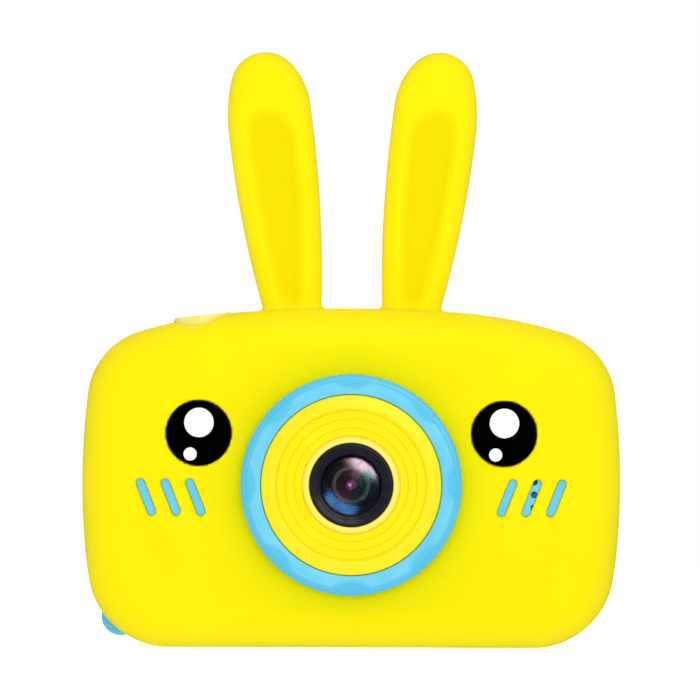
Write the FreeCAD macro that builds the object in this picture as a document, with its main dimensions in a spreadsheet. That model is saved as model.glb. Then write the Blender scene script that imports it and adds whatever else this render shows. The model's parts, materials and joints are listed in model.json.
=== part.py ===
import FreeCAD, Part
import math
import os
import re

import Sketcher
from FreeCAD import Placement, Rotation, Vector

# A children's digital camera: a blue two-piece hard body with a knurled lens ring, inside a
# soft yellow silicone sleeve that carries two rabbit ears, eyes and cheek slots.
#
# Frame: origin on the table under the middle of the camera, +Z up, the lens looks along -Y
# and +X is to the right of someone who looks at the lens. Millimetres throughout.

doc = FreeCAD.newDocument("KidsCamera")
sheet = doc.addObject("Spreadsheet::Sheet", "Dims")

DIMENSIONS = {
    # The silicone sleeve and its outline.
    "sleeve_half_width": 48.0,
    "sleeve_height": 60.5,
    "sleeve_front": -13.0,
    "sleeve_back": 19.0,
    "sleeve_wall": 2.2,
    "front_round": 7.0,
    "back_round": 2.6,
    "top_radius": 270.6,
    "shoulder_radius": 87.4,
    "shoulder_start": 18.2,
    "corner_radius": 13.05,
    "side_radius": 128.0,
    "side_height": 29.5,
    "base_corner_radius": 14.5,
    "rear_opening_inset": 4.5,
    # The ears.
    "ear_centre": 15.39,
    "ear_tip_height": 99.42,
    "ear_tip_radius": 6.95,
    "ear_outer_radius": 138.8,
    "ear_inner_radius": 137.0,
    "ear_root_outer": 14.62,
    "ear_root_inner": 6.15,
    "ear_root_height": 57.0,
    "ear_front": -1.6,
    "ear_back": 7.4,
    "ear_round": 3.6,
    "ear_dish_half_width": 3.9,
    "ear_dish_half_height": 22.0,
    "ear_dish_reach": 3.1,
    "ear_dish_centre": 13.4,
    "ear_dish_height": 79.0,
    "ear_dish_lean": 4.5,
    # Eyes, cheek slots and sound holes.
    "eye_x": 27.2,
    "eye_z": 38.24,
    "eye_radius": 5.78,
    "eye_recess_radius": 5.9,
    "eye_recess_depth": 0.8,
    "eye_height": 1.3,
    "eye_dome_radius": 48.0,
    "sparkle_film": 0.12,
    "large_sparkle_radius": 2.73,
    "large_sparkle_rise": 1.88,
    "small_sparkle_radius": 1.26,
    "small_sparkle_drop": 3.75,
    "small_sparkle_shift": 1.75,
    "slot_first": 27.75,
    "slot_pitch": 4.4,
    "slot_z": 26.8,
    "slot_half_width": 0.77,
    "slot_half_run": 2.74,
    "slot_lean": 21.5,
    "slot_rib_gap": 0.06,
    "slot_rib_sunk": 0.45,
    "sound_hole_x": 32.6,
    "sound_hole_z": 27.4,
    "sound_hole_pitch": 2.3,
    "sound_hole_radius": 0.62,
    # The hard body.
    "fit_gap": 0.1,
    "shell_inset": 2.3,
    "shell_inner_inset": 4.1,
    "shell_wall": 1.8,
    "shell_front": -10.7,
    "shell_back": 17.8,
    "shell_front_round": 4.7,
    "shell_back_round": 1.5,
    "cavity_front_round": 2.9,
    "parting": 2.5,
    "tongue_inset": 3.3,
    "tongue_height": 1.2,
    "boss_x": 38.5,
    "boss_low": 16.0,
    "boss_high": 46.0,
    "boss_radius": 3.0,
    "pilot_radius": 1.05,
    "screw_radius": 1.0,
    "screw_head_radius": 2.0,
    "screw_head_height": 1.7,
    "screw_seat": 5.0,
    "screw_tip": -6.0,
    "counterbore_radius": 2.2,
    "screw_hole_radius": 1.3,
    # The lens, all measured from its own axis.
    "lens_z": 29.1,
    "collar_radius": 17.5,
    "collar_bore": 14.9,
    "collar_front": -16.3,
    "ring_bore": 17.65,
    "ring_lip_bore": 15.0,
    "ring_lip_back": -16.5,
    "ring_lip_front": -18.0,
    "ring_face_inner": 16.2,
    "ring_root_radius": 19.4,
    "ring_tip_radius": 19.9,
    "ring_back": -13.3,
    "ring_teeth": 90,
    "ring_scoops": 8,
    "scoop_radius": 9.0,
    "scoop_reach": 20.6,
    "scoop_depth": 0.85,
    "ring_crown": -19.6,
    "bezel_crest": -20.0,
    "bezel_crest_radius": 13.4,
    "bezel_flange_radius": 16.05,
    "bezel_body_radius": 14.8,
    "bezel_step_two": 11.8,
    "bezel_step_three": 10.2,
    "bezel_rim_radius": 8.75,
    "bezel_bore": 7.5,
    "barrel_radius": 7.4,
    "front_lens_radius": 5.35,
    "baffle_radius": 3.45,
    "baffle_bore": 2.56,
    "pupil_radius": 0.9,
    # Buttons on the back.
    "pad_x": -29.5,
    "pad_z": 27.0,
    "pad_inner": 5.2,
    "pad_outer": 9.0,
    "pad_half_angle": 36.0,
    "ok_radius": 3.6,
    "small_key_radius": 2.6,
    "small_key_z": 41.8,
    "mode_key_x": -33.4,
    "power_key_x": -25.6,
    "key_clearance": 0.2,
    "key_back": 19.9,
    "key_round": 0.5,
    "key_flange_front": 15.2,
    "key_flange_back": 15.8,
    "key_flange_margin": 0.6,
    "key_stem_radius": 1.7,
    "plunger_tip": 13.4,
    "plunger_root": 11.5,
    "plunger_radius": 1.7,
    "switch_bore": 1.85,
    "switch_size": 6.0,
    "pad_switch_reach": 7.1,
    "key_switch_size": 4.6,
    "switch_height": 3.5,
    # The shutter button on top.
    "shutter_x": -26.65,
    "shutter_y": -3.55,
    "shutter_radius": 5.15,
    "shutter_hole": 5.35,
    "shutter_opening": 5.6,
    "shutter_top": 59.2,
    "shutter_lean": 6.65,
    "shutter_flange_radius": 5.9,
    "shutter_flange_low": 51.8,
    "shutter_flange_high": 52.8,
    "shutter_guide_low": 53.0,
    "shutter_guide_radius": 7.2,
    "shutter_plunger_tip": 51.3,
    "shutter_board_low": 46.0,
    "shutter_board_high": 47.0,
    "scoop_x": -28.3,
    "scoop_y": -8.7,
    "scoop_z": 64.5,
    "finger_scoop_radius": 7.0,
    # The screen.
    "screen_x": 9.0,
    "screen_z": 30.0,
    "window_width": 52.6,
    "window_height": 40.6,
    "window_corner": 3.0,
    "window_thick": 1.0,
    "view_width": 44.0,
    "view_height": 34.0,
    "lcd_width": 50.2,
    "lcd_height": 36.5,
    "lcd_front": 12.4,
    "lcd_back": 15.4,
    # Boards, battery and speaker.
    "sensor_board_back": -2.8,
    "sensor_board_thick": 0.8,
    "sensor_board_width": 16.0,
    "board_front": 8.0,
    "board_back": 9.2,
    "board_inset": 6.0,
    "board_post_right": 28.0,
    "board_post_left": -22.0,
    "board_post_low": 8.2,
    "board_post_high": 51.2,
    "board_post_radius": 2.0,
    "board_hole_radius": 1.1,
    "battery_left": -35.0,
    "battery_width": 24.5,
    "battery_low": 10.0,
    "battery_height": 33.0,
    "battery_front": -8.5,
    "battery_thick": 5.0,
    "speaker_radius": 9.0,
    "speaker_thick": 4.0,
    # The port cover on the right-hand side.
    "port_front": 3.0,
    "port_back": 11.0,
    "port_low": 15.2,
    "port_high": 43.6,
    "port_gap": 0.3,
    "hinge_z": 18.3,
    "port_window_front": 4.6,
    "port_window_back": 9.4,
    "port_window_low": 20.2,
    "port_window_high": 42.8,
    "port_plug_depth": 1.2,
    # The lanyard eyelet at the lower left corner.
    "eyelet_x": -41.3,
    "eyelet_z": 5.2,
    "eyelet_radius": 3.5,
    "eyelet_bore": 1.75,
    "eyelet_front": 9.0,
    "eyelet_back": 12.0,
    "eyelet_pocket": 4.7,
    "eyelet_pocket_wall": 6.2,
    "eyelet_pocket_front": 4.8,
    "notch_radius": 5.1,
    "notch_shift": 0.25,
}

PLANES = {"XY": "XY_Plane", "XZ": "XZ_Plane", "YZ": "YZ_Plane"}
WORD = re.compile(r"[A-Za-z_][A-Za-z_0-9]*")
TERM = re.compile(r"([+-]?)\s*([^+-]+)")
BLIND = 0.6  # how much further a blind bore goes than the pin that moves in it
FAR = 200.0  # longer than the whole camera, for a cut that goes right through


def fill_sheet():
    for row, (alias, value) in enumerate(DIMENSIONS.items(), start=1):
        sheet.set(f"A{row}", alias)
        sheet.set(f"B{row}", str(value))
        sheet.setAlias(f"B{row}", alias)
    doc.recompute()


def dim(alias):
    """The number in the sheet's cell of that name."""
    return float(sheet.get(alias))


def amount(formula):
    """The value of a formula made of sums of products of numbers and cell names."""
    if not isinstance(formula, str):
        return float(formula)
    total = 0.0
    for sign, term in TERM.findall(formula.strip()):
        value = 1.0
        for symbol, factor in re.findall(r"([*/]?)\s*([\w.]+)", term):
            number = dim(factor) if WORD.fullmatch(factor) else float(factor)
            value = value / number if symbol == "/" else value * number
        total += -value if sign == "-" else value
    return total


def linked(formula):
    """The same formula as an expression that reads the sheet."""
    return WORD.sub(lambda found: "Dims." + found.group(0), str(formula))


def bind(thing, prop, formula):
    thing.setExpression(prop, linked(formula))


def minus(formula):
    """The formula with every sign turned."""
    text = str(formula).strip()
    if text[0] not in "+-":
        text = "+" + text
    return text.translate(str.maketrans("+-", "-+"))


def scaled(formula, factor):
    """The formula with a factor such as "/ 2" put after each of its terms."""
    return TERM.sub(lambda term: f"{term.group(1)} {term.group(2).strip()} {factor} ", str(formula))


# ---------------------------------------------------------------- primitives and booleans


def box(name, low, size):
    """A box from its low corner and its size, each three formulas."""
    thing = doc.addObject("Part::Box", name)
    for prop, formula in zip(("Length", "Width", "Height"), size):
        bind(thing, prop, formula)
    for axis, formula in zip("xyz", low):
        bind(thing, "Placement.Base." + axis, formula)
    return thing


TURNS = {
    "x": Rotation(Vector(0, 1, 0), 90),
    "y": Rotation(Vector(1, 0, 0), -90),
    "z": Rotation(),
}


def place(thing, start, axis="z"):
    thing.Placement = Placement(Vector(), TURNS[axis])
    for letter, formula in zip("xyz", start):
        bind(thing, "Placement.Base." + letter, formula)
    return thing


def cylinder(name, start, axis, radius, length):
    thing = place(doc.addObject("Part::Cylinder", name), start, axis)
    bind(thing, "Radius", radius)
    bind(thing, "Height", length)
    return thing


def sphere(name, centre, radius):
    thing = place(doc.addObject("Part::Sphere", name), centre)
    bind(thing, "Radius", radius)
    return thing


def fuse(name, parts):
    thing = doc.addObject("Part::MultiFuse", name)
    thing.Shapes = parts
    return thing


def cut(name, base, tools):
    thing = doc.addObject("Part::Cut", name)
    thing.Base = base
    thing.Tool = tools[0] if len(tools) == 1 else fuse(name + "_tools", tools)
    return thing


def common(name, first, second):
    thing = doc.addObject("Part::MultiCommon", name)
    thing.Shapes = [first, second]
    return thing


def group(name, parts):
    """Several separate solids as one node."""
    thing = doc.addObject("Part::Compound", name)
    thing.Links = parts
    return thing


def edges_where(shape, test):
    return [f"Edge{i}" for i, edge in enumerate(shape.Edges, start=1) if test(edge)]


def in_plane(axis, value):
    """A test for edges that lie in the plane where that coordinate has that value."""
    index = "xyz".index(axis)

    def test(edge):
        span = edge.BoundBox
        low = (span.XMin, span.YMin, span.ZMin)[index]
        high = (span.XMax, span.YMax, span.ZMax)[index]
        return abs(low - value) < 1e-4 and abs(high - value) < 1e-4

    return test


# ---------------------------------------------------------------- sketches and bodies


def new_body(name):
    body = doc.addObject("PartDesign::Body", name)
    body.Label = name
    return body


def sketch_on(body, name, plane, offset=(0, 0, 0)):
    """A sketch on one of the body's own planes, moved by offset in the sketch's own axes."""
    sketch = body.newObject("Sketcher::SketchObject", name)
    role = PLANES[plane]
    support = [f for f in body.Origin.OriginFeatures if f.Role == role][0]
    sketch.AttachmentSupport = [(support, "")]
    sketch.MapMode = "FlatFace"
    for axis, formula in zip("xyz", offset):
        bind(sketch, "AttachmentOffset.Base." + axis, formula)
    return sketch


def constrain(sketch, name, kind, *arguments):
    """Adds a dimension; its last argument is a formula, which the constraint is bound to."""
    *where, formula = arguments
    index = sketch.addConstraint(Sketcher.Constraint(kind, *where, amount(formula)))
    sketch.renameConstraint(index, name)
    sketch.setExpression("Constraints." + name, linked(formula))


def arc_between(start, end, radius):
    """The shorter arc from start to end; it bulges to the right of that way if radius > 0."""
    chord = end - start
    half = chord.Length / 2
    side = Vector(-chord.y, chord.x, 0).normalize()
    away = math.sqrt(max(radius * radius - half * half, 0.0))
    centre = (start + end) * 0.5 + side * (away if radius > 0 else -away)
    circle = Part.Circle(centre, Vector(0, 0, 1), abs(radius))
    first, last = (start, end) if radius > 0 else (end, start)
    angles = [math.atan2(p.y - centre.y, p.x - centre.x) for p in (first, last)]
    if angles[1] < angles[0]:
        angles[1] += 2 * math.pi
    return Part.ArcOfCircle(circle, *angles)


def profile(sketch, corners):
    """A closed outline. A corner is (x, y) or (x, y, radius), each a formula; the radius bends
    the side that leaves that corner, to the right if positive and to the left if negative."""
    points = [Vector(amount(c[0]), amount(c[1]), 0) for c in corners]
    ends = []
    for i, corner in enumerate(corners):
        start, end = points[i], points[(i + 1) % len(points)]
        if len(corner) == 2:
            index = sketch.addGeometry(Part.LineSegment(start, end), False)
            ends.append((index, 1, 2))
            continue
        radius = amount(corner[2])
        index = sketch.addGeometry(arc_between(start, end, radius), False)
        ends.append((index, 1, 2) if radius > 0 else (index, 2, 1))
        size = corner[2] if radius > 0 else minus(corner[2])
        constrain(sketch, f"bend{i}", "Radius", index, size)
    for i, (index, first, last) in enumerate(ends):
        following, start, _ = ends[(i + 1) % len(ends)]
        sketch.addConstraint(Sketcher.Constraint("Coincident", index, last, following, start))
        for kind, formula in (("DistanceX", corners[i][0]), ("DistanceY", corners[i][1])):
            name = f"{kind[-1].lower()}{i}"
            constrain(sketch, name, kind, -1, 1, index, first, formula)


def rectangle(sketch, width, height, radius):
    """A rectangle with round corners, centred on the sketch's origin."""
    w, h, r = amount(width) / 2, amount(height) / 2, amount(radius)
    spots = [(w - r, -h), (w, -h + r), (w, h - r), (w - r, h)]
    spots += [(-w + r, h), (-w, h - r), (-w, -h + r), (-w + r, -h)]
    points = [Vector(x, y, 0) for x, y in spots]
    for i in range(4):
        a, b, c = points[2 * i], points[2 * i + 1], points[(2 * i + 2) % 8]
        sketch.addGeometry(arc_between(a, b, r), False)
        sketch.addGeometry(Part.LineSegment(b, c), False)
    for i in range(8):
        sketch.addConstraint(Sketcher.Constraint("Tangent", i, 2, (i + 1) % 8, 1))
    for i, kind in ((1, "Vertical"), (3, "Horizontal"), (5, "Vertical"), (7, "Horizontal")):
        sketch.addConstraint(Sketcher.Constraint(kind, i))
    for i in (2, 4, 6):
        sketch.addConstraint(Sketcher.Constraint("Equal", 0, i))
    constrain(sketch, "corner", "Radius", 0, radius)
    constrain(sketch, "right", "DistanceX", -1, 1, 1, 1, scaled(width, "/ 2"))
    constrain(sketch, "left", "DistanceX", 5, 1, -1, 1, scaled(width, "/ 2"))
    constrain(sketch, "top", "DistanceY", -1, 1, 3, 1, scaled(height, "/ 2"))
    constrain(sketch, "bottom", "DistanceY", 7, 1, -1, 1, scaled(height, "/ 2"))


def slot(sketch, half_width, half_run):
    """An upright slot with round ends, centred on the sketch's origin."""
    w, run = amount(half_width), amount(half_run)
    low, high = -run, run
    sketch.addGeometry(Part.LineSegment(Vector(w, low, 0), Vector(w, high, 0)), False)
    upper = Part.Circle(Vector(0, high, 0), Vector(0, 0, 1), w)
    sketch.addGeometry(Part.ArcOfCircle(upper, 0, math.pi), False)
    sketch.addGeometry(Part.LineSegment(Vector(-w, high, 0), Vector(-w, low, 0)), False)
    lower = Part.Circle(Vector(0, low, 0), Vector(0, 0, 1), w)
    sketch.addGeometry(Part.ArcOfCircle(lower, math.pi, 2 * math.pi), False)
    for i in range(4):
        sketch.addConstraint(Sketcher.Constraint("Tangent", i, 2, (i + 1) % 4, 1))
    sketch.addConstraint(Sketcher.Constraint("Vertical", 0))
    for i in (1, 3):
        sketch.addConstraint(Sketcher.Constraint("PointOnObject", i, 3, -2))
    constrain(sketch, "upper", "DistanceY", -1, 1, 1, 3, half_run)
    constrain(sketch, "lower", "DistanceY", 3, 3, -1, 1, half_run)
    constrain(sketch, "width", "Radius", 1, half_width)


def circle(sketch, radius, centre=(0, 0), name="round"):
    index = sketch.addGeometry(
        Part.Circle(Vector(amount(centre[0]), amount(centre[1]), 0), Vector(0, 0, 1), amount(radius)),
        False,
    )
    constrain(sketch, name, "Radius", index, radius)
    if centre == (0, 0):
        sketch.addConstraint(Sketcher.Constraint("Coincident", index, 3, -1, 1))
        return
    constrain(sketch, name + "_x", "DistanceX", -1, 1, index, 3, centre[0])
    constrain(sketch, name + "_y", "DistanceY", -1, 1, index, 3, centre[1])


def pad(body, sketch, length, towards_back=False):
    """Pads a sketch. On the XZ plane a pad goes to the front, or with towards_back to the back."""
    feature = body.newObject("PartDesign::Pad", sketch.Name + "_pad")
    feature.Profile = sketch
    bind(feature, "Length", length)
    feature.Reversed = towards_back
    doc.recompute()
    return feature


def revolve(body, sketch):
    """Turns a sketch on the XY plane about the line x = 0 in it."""
    feature = body.newObject("PartDesign::Revolution", sketch.Name + "_turned")
    feature.Profile = sketch
    feature.ReferenceAxis = (sketch, ["V_Axis"])
    feature.Angle = 360
    doc.recompute()
    return feature


def round_edges(body, base, radius, test):
    feature = body.newObject("PartDesign::Fillet", base.Name + "_round")
    feature.Base = (base, edges_where(base.Shape, test))
    bind(feature, "Radius", radius)
    doc.recompute()
    return feature


def turned(name, corners):
    """A body of revolution about the lens axis; corners are (radius, y) formulas."""
    body = new_body(name)
    sketch = sketch_on(body, name + "_profile", "XY", (0, 0, "lens_z"))
    profile(sketch, corners)
    revolve(body, sketch)
    return body


def plate(name, centre, size, depth, corner):
    """A plate with round corners, parallel to the camera's back. centre is x and z, size is
    the width and height, and depth is the lower and the upper y."""
    body = new_body(name)
    front, back = depth
    sketch = sketch_on(body, name + "_outline", "XZ", (centre[0], centre[1], minus(front)))
    rectangle(sketch, size[0], size[1], corner)
    pad(body, sketch, f"{back} {minus(front)}", towards_back=True)
    return body


# ---------------------------------------------------------------- the camera's outline


def circles_meet(first, first_radius, second, second_radius, pick):
    """The point where two circles meet that pick likes best."""
    between = second - first
    far = between.Length
    along = (first_radius**2 - second_radius**2 + far**2) / (2 * far)
    up = math.sqrt(max(first_radius**2 - along**2, 0.0))
    ahead = Vector(between).normalize()
    side = Vector(-ahead.y, ahead.x, 0)
    foot = first + ahead * along
    return max((foot + side * up, foot - side * up), key=pick)


def outline_arcs(inset):
    """The right half of the outline as (centre, radius, start, end), from the base upwards."""
    top, shoulder = dim("top_radius"), dim("shoulder_radius")
    side, corner, base = dim("side_radius"), dim("corner_radius"), dim("base_corner_radius")
    top_centre = Vector(0, dim("sleeve_height") - top, 0)
    lean = math.asin(dim("shoulder_start") / top)
    shoulder_centre = top_centre + Vector(math.sin(lean), math.cos(lean), 0) * (top - shoulder)
    side_centre = Vector(dim("sleeve_half_width") - side, dim("side_height"), 0)
    corner_centre = circles_meet(
        shoulder_centre, shoulder - corner, side_centre, side - corner, lambda p: p.x + p.y
    )
    reach = math.sqrt((side - base) ** 2 - (base - side_centre.y) ** 2)
    base_centre = Vector(side_centre.x + reach, base, 0)

    def out(centre, towards, radius):
        return centre + Vector(towards - centre).normalize() * (radius - inset)

    joints = [
        Vector(base_centre.x, inset, 0),
        out(side_centre, base_centre, side),
        out(side_centre, corner_centre, side),
        out(shoulder_centre, corner_centre, shoulder),
        out(top_centre, shoulder_centre, top),
    ]
    centres = [base_centre, side_centre, corner_centre, shoulder_centre]
    radii = [base, side, corner, shoulder]
    return [
        (centres[i], radii[i] - inset, joints[i], joints[i + 1]) for i in range(4)
    ]


OUTLINE_RADII = ("base_corner_radius", "side_radius", "corner_radius", "shoulder_radius")


def outline(sketch, inset):
    """Draws the camera's outline, moved in by inset, as one line and nine tangent arcs."""
    moved = "" if inset == 0 else " " + minus(inset)
    right = outline_arcs(amount(inset))
    top_right = right[-1][3]
    segments = [Part.LineSegment(Vector(-right[0][2].x, right[0][2].y, 0), right[0][2])]
    segments += [arc_between(start, end, radius) for _, radius, start, end in right]
    top_left = Vector(-top_right.x, top_right.y, 0)
    segments.append(arc_between(top_right, top_left, dim("top_radius") - amount(inset)))
    for _, radius, start, end in reversed(right):
        mirrored = [Vector(-p.x, p.y, 0) for p in (end, start)]
        segments.append(arc_between(*mirrored, radius))
    for segment in segments:
        sketch.addGeometry(segment, False)
    count = len(segments)
    for i in range(count):
        sketch.addConstraint(Sketcher.Constraint("Tangent", i, 2, (i + 1) % count, 1))
    sketch.addConstraint(Sketcher.Constraint("Horizontal", 0))
    if inset == 0:
        sketch.addConstraint(Sketcher.Constraint("PointOnObject", 0, 1, -1))
    else:
        constrain(sketch, "base", "DistanceY", -1, 1, 0, 1, inset)
    sizes = [*OUTLINE_RADII, "top_radius", *reversed(OUTLINE_RADII)]
    for i, alias in enumerate(sizes, start=1):
        constrain(sketch, f"radius{i}", "Radius", i, alias + moved)
    top = len(OUTLINE_RADII) + 1
    sketch.addConstraint(Sketcher.Constraint("PointOnObject", top, 3, -2))
    constrain(sketch, "top_centre", "DistanceY", -1, 1, top, 3, "sleeve_height - top_radius")
    for i, sign in ((2, 1), (count - 2, -1)):
        reach = "sleeve_half_width - side_radius" if sign > 0 else "side_radius - sleeve_half_width"
        constrain(sketch, f"side_x{i}", "DistanceX", -1, 1, i, 3, reach)
        constrain(sketch, f"side_z{i}", "DistanceY", -1, 1, i, 3, "side_height")
    start = "shoulder_start"
    if inset != 0:
        start += " " + scaled(minus(inset), "* shoulder_start / top_radius")
    constrain(sketch, "shoulder_right", "DistanceX", -1, 1, top, 1, start)
    constrain(sketch, "shoulder_left", "DistanceX", -1, 1, top, 2, minus(start))


def outline_block(name, inset, front, back, front_round=None, back_round=None):
    """A block with the camera's outline, from y = front to y = back, with its edges rounded."""
    body = new_body(name)
    sketch = sketch_on(body, name + "_outline", "XZ", (0, 0, minus(front)))
    outline(sketch, inset)
    last = pad(body, sketch, f"{back} {minus(front)}", towards_back=True)
    if front_round:
        last = round_edges(body, last, front_round, in_plane("y", amount(front)))
    if back_round:
        round_edges(body, last, back_round, in_plane("y", amount(back)))
    return body


# ---------------------------------------------------------------- the silicone sleeve


def ear(side):
    """One ear: a flat tongue with a round tip and rounded edges. side is 1 right, -1 left."""
    name = "right_ear" if side > 0 else "left_ear"
    tip = Vector(dim("ear_centre"), dim("ear_tip_height"), 0)
    root = dim("ear_root_height")
    tip_radius = dim("ear_tip_radius")
    roots = {
        "outer": Vector(dim("ear_root_outer"), root, 0),
        "inner": Vector(dim("ear_root_inner"), root, 0),
    }
    centres = {}
    joints = {}
    for which, way in (("outer", -1), ("inner", 1)):
        radius = dim(f"ear_{which}_radius")
        centres[which] = circles_meet(
            tip, radius - tip_radius, roots[which], radius, lambda p, way=way: way * p.x
        )
        ahead = Vector(tip - centres[which]).normalize()
        joints[which] = centres[which] + ahead * radius

    def turned_over(point):
        return Vector(side * point.x, point.y, 0)

    body = new_body(name)
    sketch = sketch_on(body, name + "_outline", "XZ", (0, 0, minus("ear_front")))
    loop = [
        (roots["inner"], roots["outer"], None),
        (roots["outer"], joints["outer"], "ear_outer_radius"),
        (joints["outer"], joints["inner"], "ear_tip_radius"),
        (joints["inner"], roots["inner"], "ear_inner_radius"),
    ]
    ends = []
    for i, (start, end, alias) in enumerate(loop):
        start, end = turned_over(start), turned_over(end)
        if alias is None:
            index = sketch.addGeometry(Part.LineSegment(start, end), False)
            ends.append((index, 1, 2))
            continue
        index = sketch.addGeometry(arc_between(start, end, side * dim(alias)), False)
        ends.append((index, 1, 2) if side > 0 else (index, 2, 1))
        constrain(sketch, f"bend{i}", "Radius", index, alias)
    joins = ("Coincident", "Tangent", "Tangent", "Coincident")
    for i, join in enumerate(joins):
        index, _, last = ends[i]
        following, start, _ = ends[(i + 1) % 4]
        sketch.addConstraint(Sketcher.Constraint(join, index, last, following, start))
    sketch.addConstraint(Sketcher.Constraint("Horizontal", 0))
    sign = "" if side > 0 else "-"
    constrain(sketch, "tip_x", "DistanceX", -1, 1, 2, 3, sign + "ear_centre")
    constrain(sketch, "tip_z", "DistanceY", -1, 1, 2, 3, "ear_tip_height")
    constrain(sketch, "root_z", "DistanceY", -1, 1, 0, 1, "ear_root_height")
    constrain(sketch, "root_inner", "DistanceX", -1, 1, 0, 1, sign + "ear_root_inner")
    constrain(sketch, "root_outer", "DistanceX", -1, 1, 0, 2, sign + "ear_root_outer")
    padded = pad(body, sketch, "ear_back - ear_front", towards_back=True)

    def face_edge(edge):
        flat = in_plane("y", dim("ear_front"))(edge) or in_plane("y", dim("ear_back"))(edge)
        return flat and not in_plane("z", root)(edge)

    round_edges(body, padded, "ear_round", face_edge)
    return cut(name + "_dished", body, [ear_dish(side)])


def ear_dish(side):
    """The shallow hollow in an ear's front, as an egg-shaped cutting tool."""
    dish = doc.addObject("Part::Ellipsoid", "ear_dish_tool")
    bind(dish, "Radius1", "ear_dish_half_height")
    bind(dish, "Radius2", "ear_dish_half_width")
    bind(dish, "Radius3", "ear_dish_reach")
    lean = side * dim("ear_dish_lean")
    dish.Placement = Placement(Vector(), Rotation(Vector(0, 1, 0), lean))
    sign = "" if side > 0 else "-"
    bind(dish, "Placement.Base.x", sign + "ear_dish_centre")
    bind(dish, "Placement.Base.y", "ear_front - 1.9")
    bind(dish, "Placement.Base.z", "ear_dish_height")
    return dish


def cheek_slot(name, side, index, half_width, half_run, front, back):
    """A leaning slot with round ends, as a solid from y = front to y = back."""
    body = new_body(name)
    along = f"slot_first + {index} * slot_pitch"
    x = along if side > 0 else minus(along)
    sketch = sketch_on(body, name + "_outline", "XZ", (x, "slot_z", minus(front)))
    lean = side * dim("slot_lean")
    sketch.AttachmentOffset = Placement(sketch.AttachmentOffset.Base, Rotation(Vector(0, 0, 1), -lean))
    slot(sketch, half_width, half_run)
    pad(body, sketch, f"{back} {minus(front)}", towards_back=True)
    return body


def silicone_sleeve():
    blank = outline_block(
        "sleeve_blank", 0, "sleeve_front", "sleeve_back", "front_round", "back_round"
    )
    eared = fuse("eared_blank", [blank, ear(1), ear(-1)])
    hollow = outline_block(
        "sleeve_hollow",
        "sleeve_wall",
        "sleeve_front + sleeve_wall",
        "shell_back + fit_gap",
        "front_round - sleeve_wall",
        "shell_back_round - fit_gap",
    )
    opening = outline_block("rear_opening", "rear_opening_inset", "shell_back", "sleeve_back + 1")
    lens_hole = cylinder(
        "lens_hole", (0, "sleeve_front - 1", "lens_z"), "y", "collar_radius + 0.5", "sleeve_wall + 3"
    )
    tools = [hollow, opening, lens_hole]
    for side in (-1, 1):
        sign = "" if side > 0 else "-"
        start = (sign + "eye_x", "sleeve_front - 1", "eye_z")
        tools.append(
            cylinder("eye_recess", start, "y", "eye_recess_radius", "eye_recess_depth + 1")
        )
        for index in range(3):
            tools.append(
                cheek_slot(
                    f"slot_tool{side}{index}".replace("-", "m"),
                    side,
                    index,
                    "slot_half_width",
                    "slot_half_run",
                    "sleeve_front - 1",
                    "sleeve_front + sleeve_wall + 1",
                )
            )
    start = ("shutter_x", "shutter_y", "shutter_guide_low")
    tools.append(cylinder("shutter_opening_tool", start, "z", "shutter_opening", 12))
    tools.append(sphere("finger_scoop", ("scoop_x", "scoop_y", "scoop_z"), "finger_scoop_radius"))
    tools.append(
        box(
            "port_opening_tool",
            ("sleeve_half_width - 8", "port_front", "port_low"),
            (20, "port_back - port_front", "port_high - port_low"),
        )
    )
    start = ("eyelet_x - notch_shift", "eyelet_pocket_front", "eyelet_z - notch_shift")
    tools.append(cylinder("lanyard_notch", start, "y", "notch_radius", FAR))
    return cut("silicone_sleeve", eared, tools)


def eye_ball(side, lift):
    """The large ball whose front makes an eye's low dome, moved to the front by lift."""
    sign = "" if side > 0 else "-"
    back = "sleeve_front + eye_recess_depth - eye_height + eye_dome_radius"
    centre = (sign + "eye_x", f"{back} - {lift}", "eye_z")
    return sphere("eye_ball", centre, "eye_dome_radius")


def eye(side):
    """A shallow black dome that sits in the sleeve's eye recess."""
    name = "right_eye" if side > 0 else "left_eye"
    sign = "" if side > 0 else "-"
    start = (sign + "eye_x", "sleeve_front + eye_recess_depth - 3", "eye_z")
    return common(name, cylinder("eye_post", start, "y", "eye_radius", 3), eye_ball(side, 0))


def eye_sparkles(eyes):
    """The two white spots on each eye, each a film that follows the dome."""
    films = []
    for side, dome in eyes.items():
        sign = "" if side > 0 else "-"
        spots = [
            (f"{sign}eye_x", "eye_z + large_sparkle_rise", "large_sparkle_radius"),
            (
                f"{sign}eye_x - small_sparkle_shift",
                "eye_z - small_sparkle_drop",
                "small_sparkle_radius",
            ),
        ]
        for x, z, radius in spots:
            post = cylinder("sparkle_post", (x, "sleeve_front - 1", z), "y", radius, 1.2)
            shaped = common("sparkle_blank", post, eye_ball(side, "sparkle_film"))
            films.append(cut("sparkle", shaped, [dome]))
    return group("eye_sparkles", films)


# ---------------------------------------------------------------- the hard body


def four_bosses(name, front, back, radius):
    """A cylinder at each housing screw, from y = front to y = back."""
    found = []
    for x in ("boss_x", "-boss_x"):
        for z in ("boss_low", "boss_high"):
            found.append(cylinder(name, (x, front, z), "y", radius, f"{back} {minus(front)}"))
    return found


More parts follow.
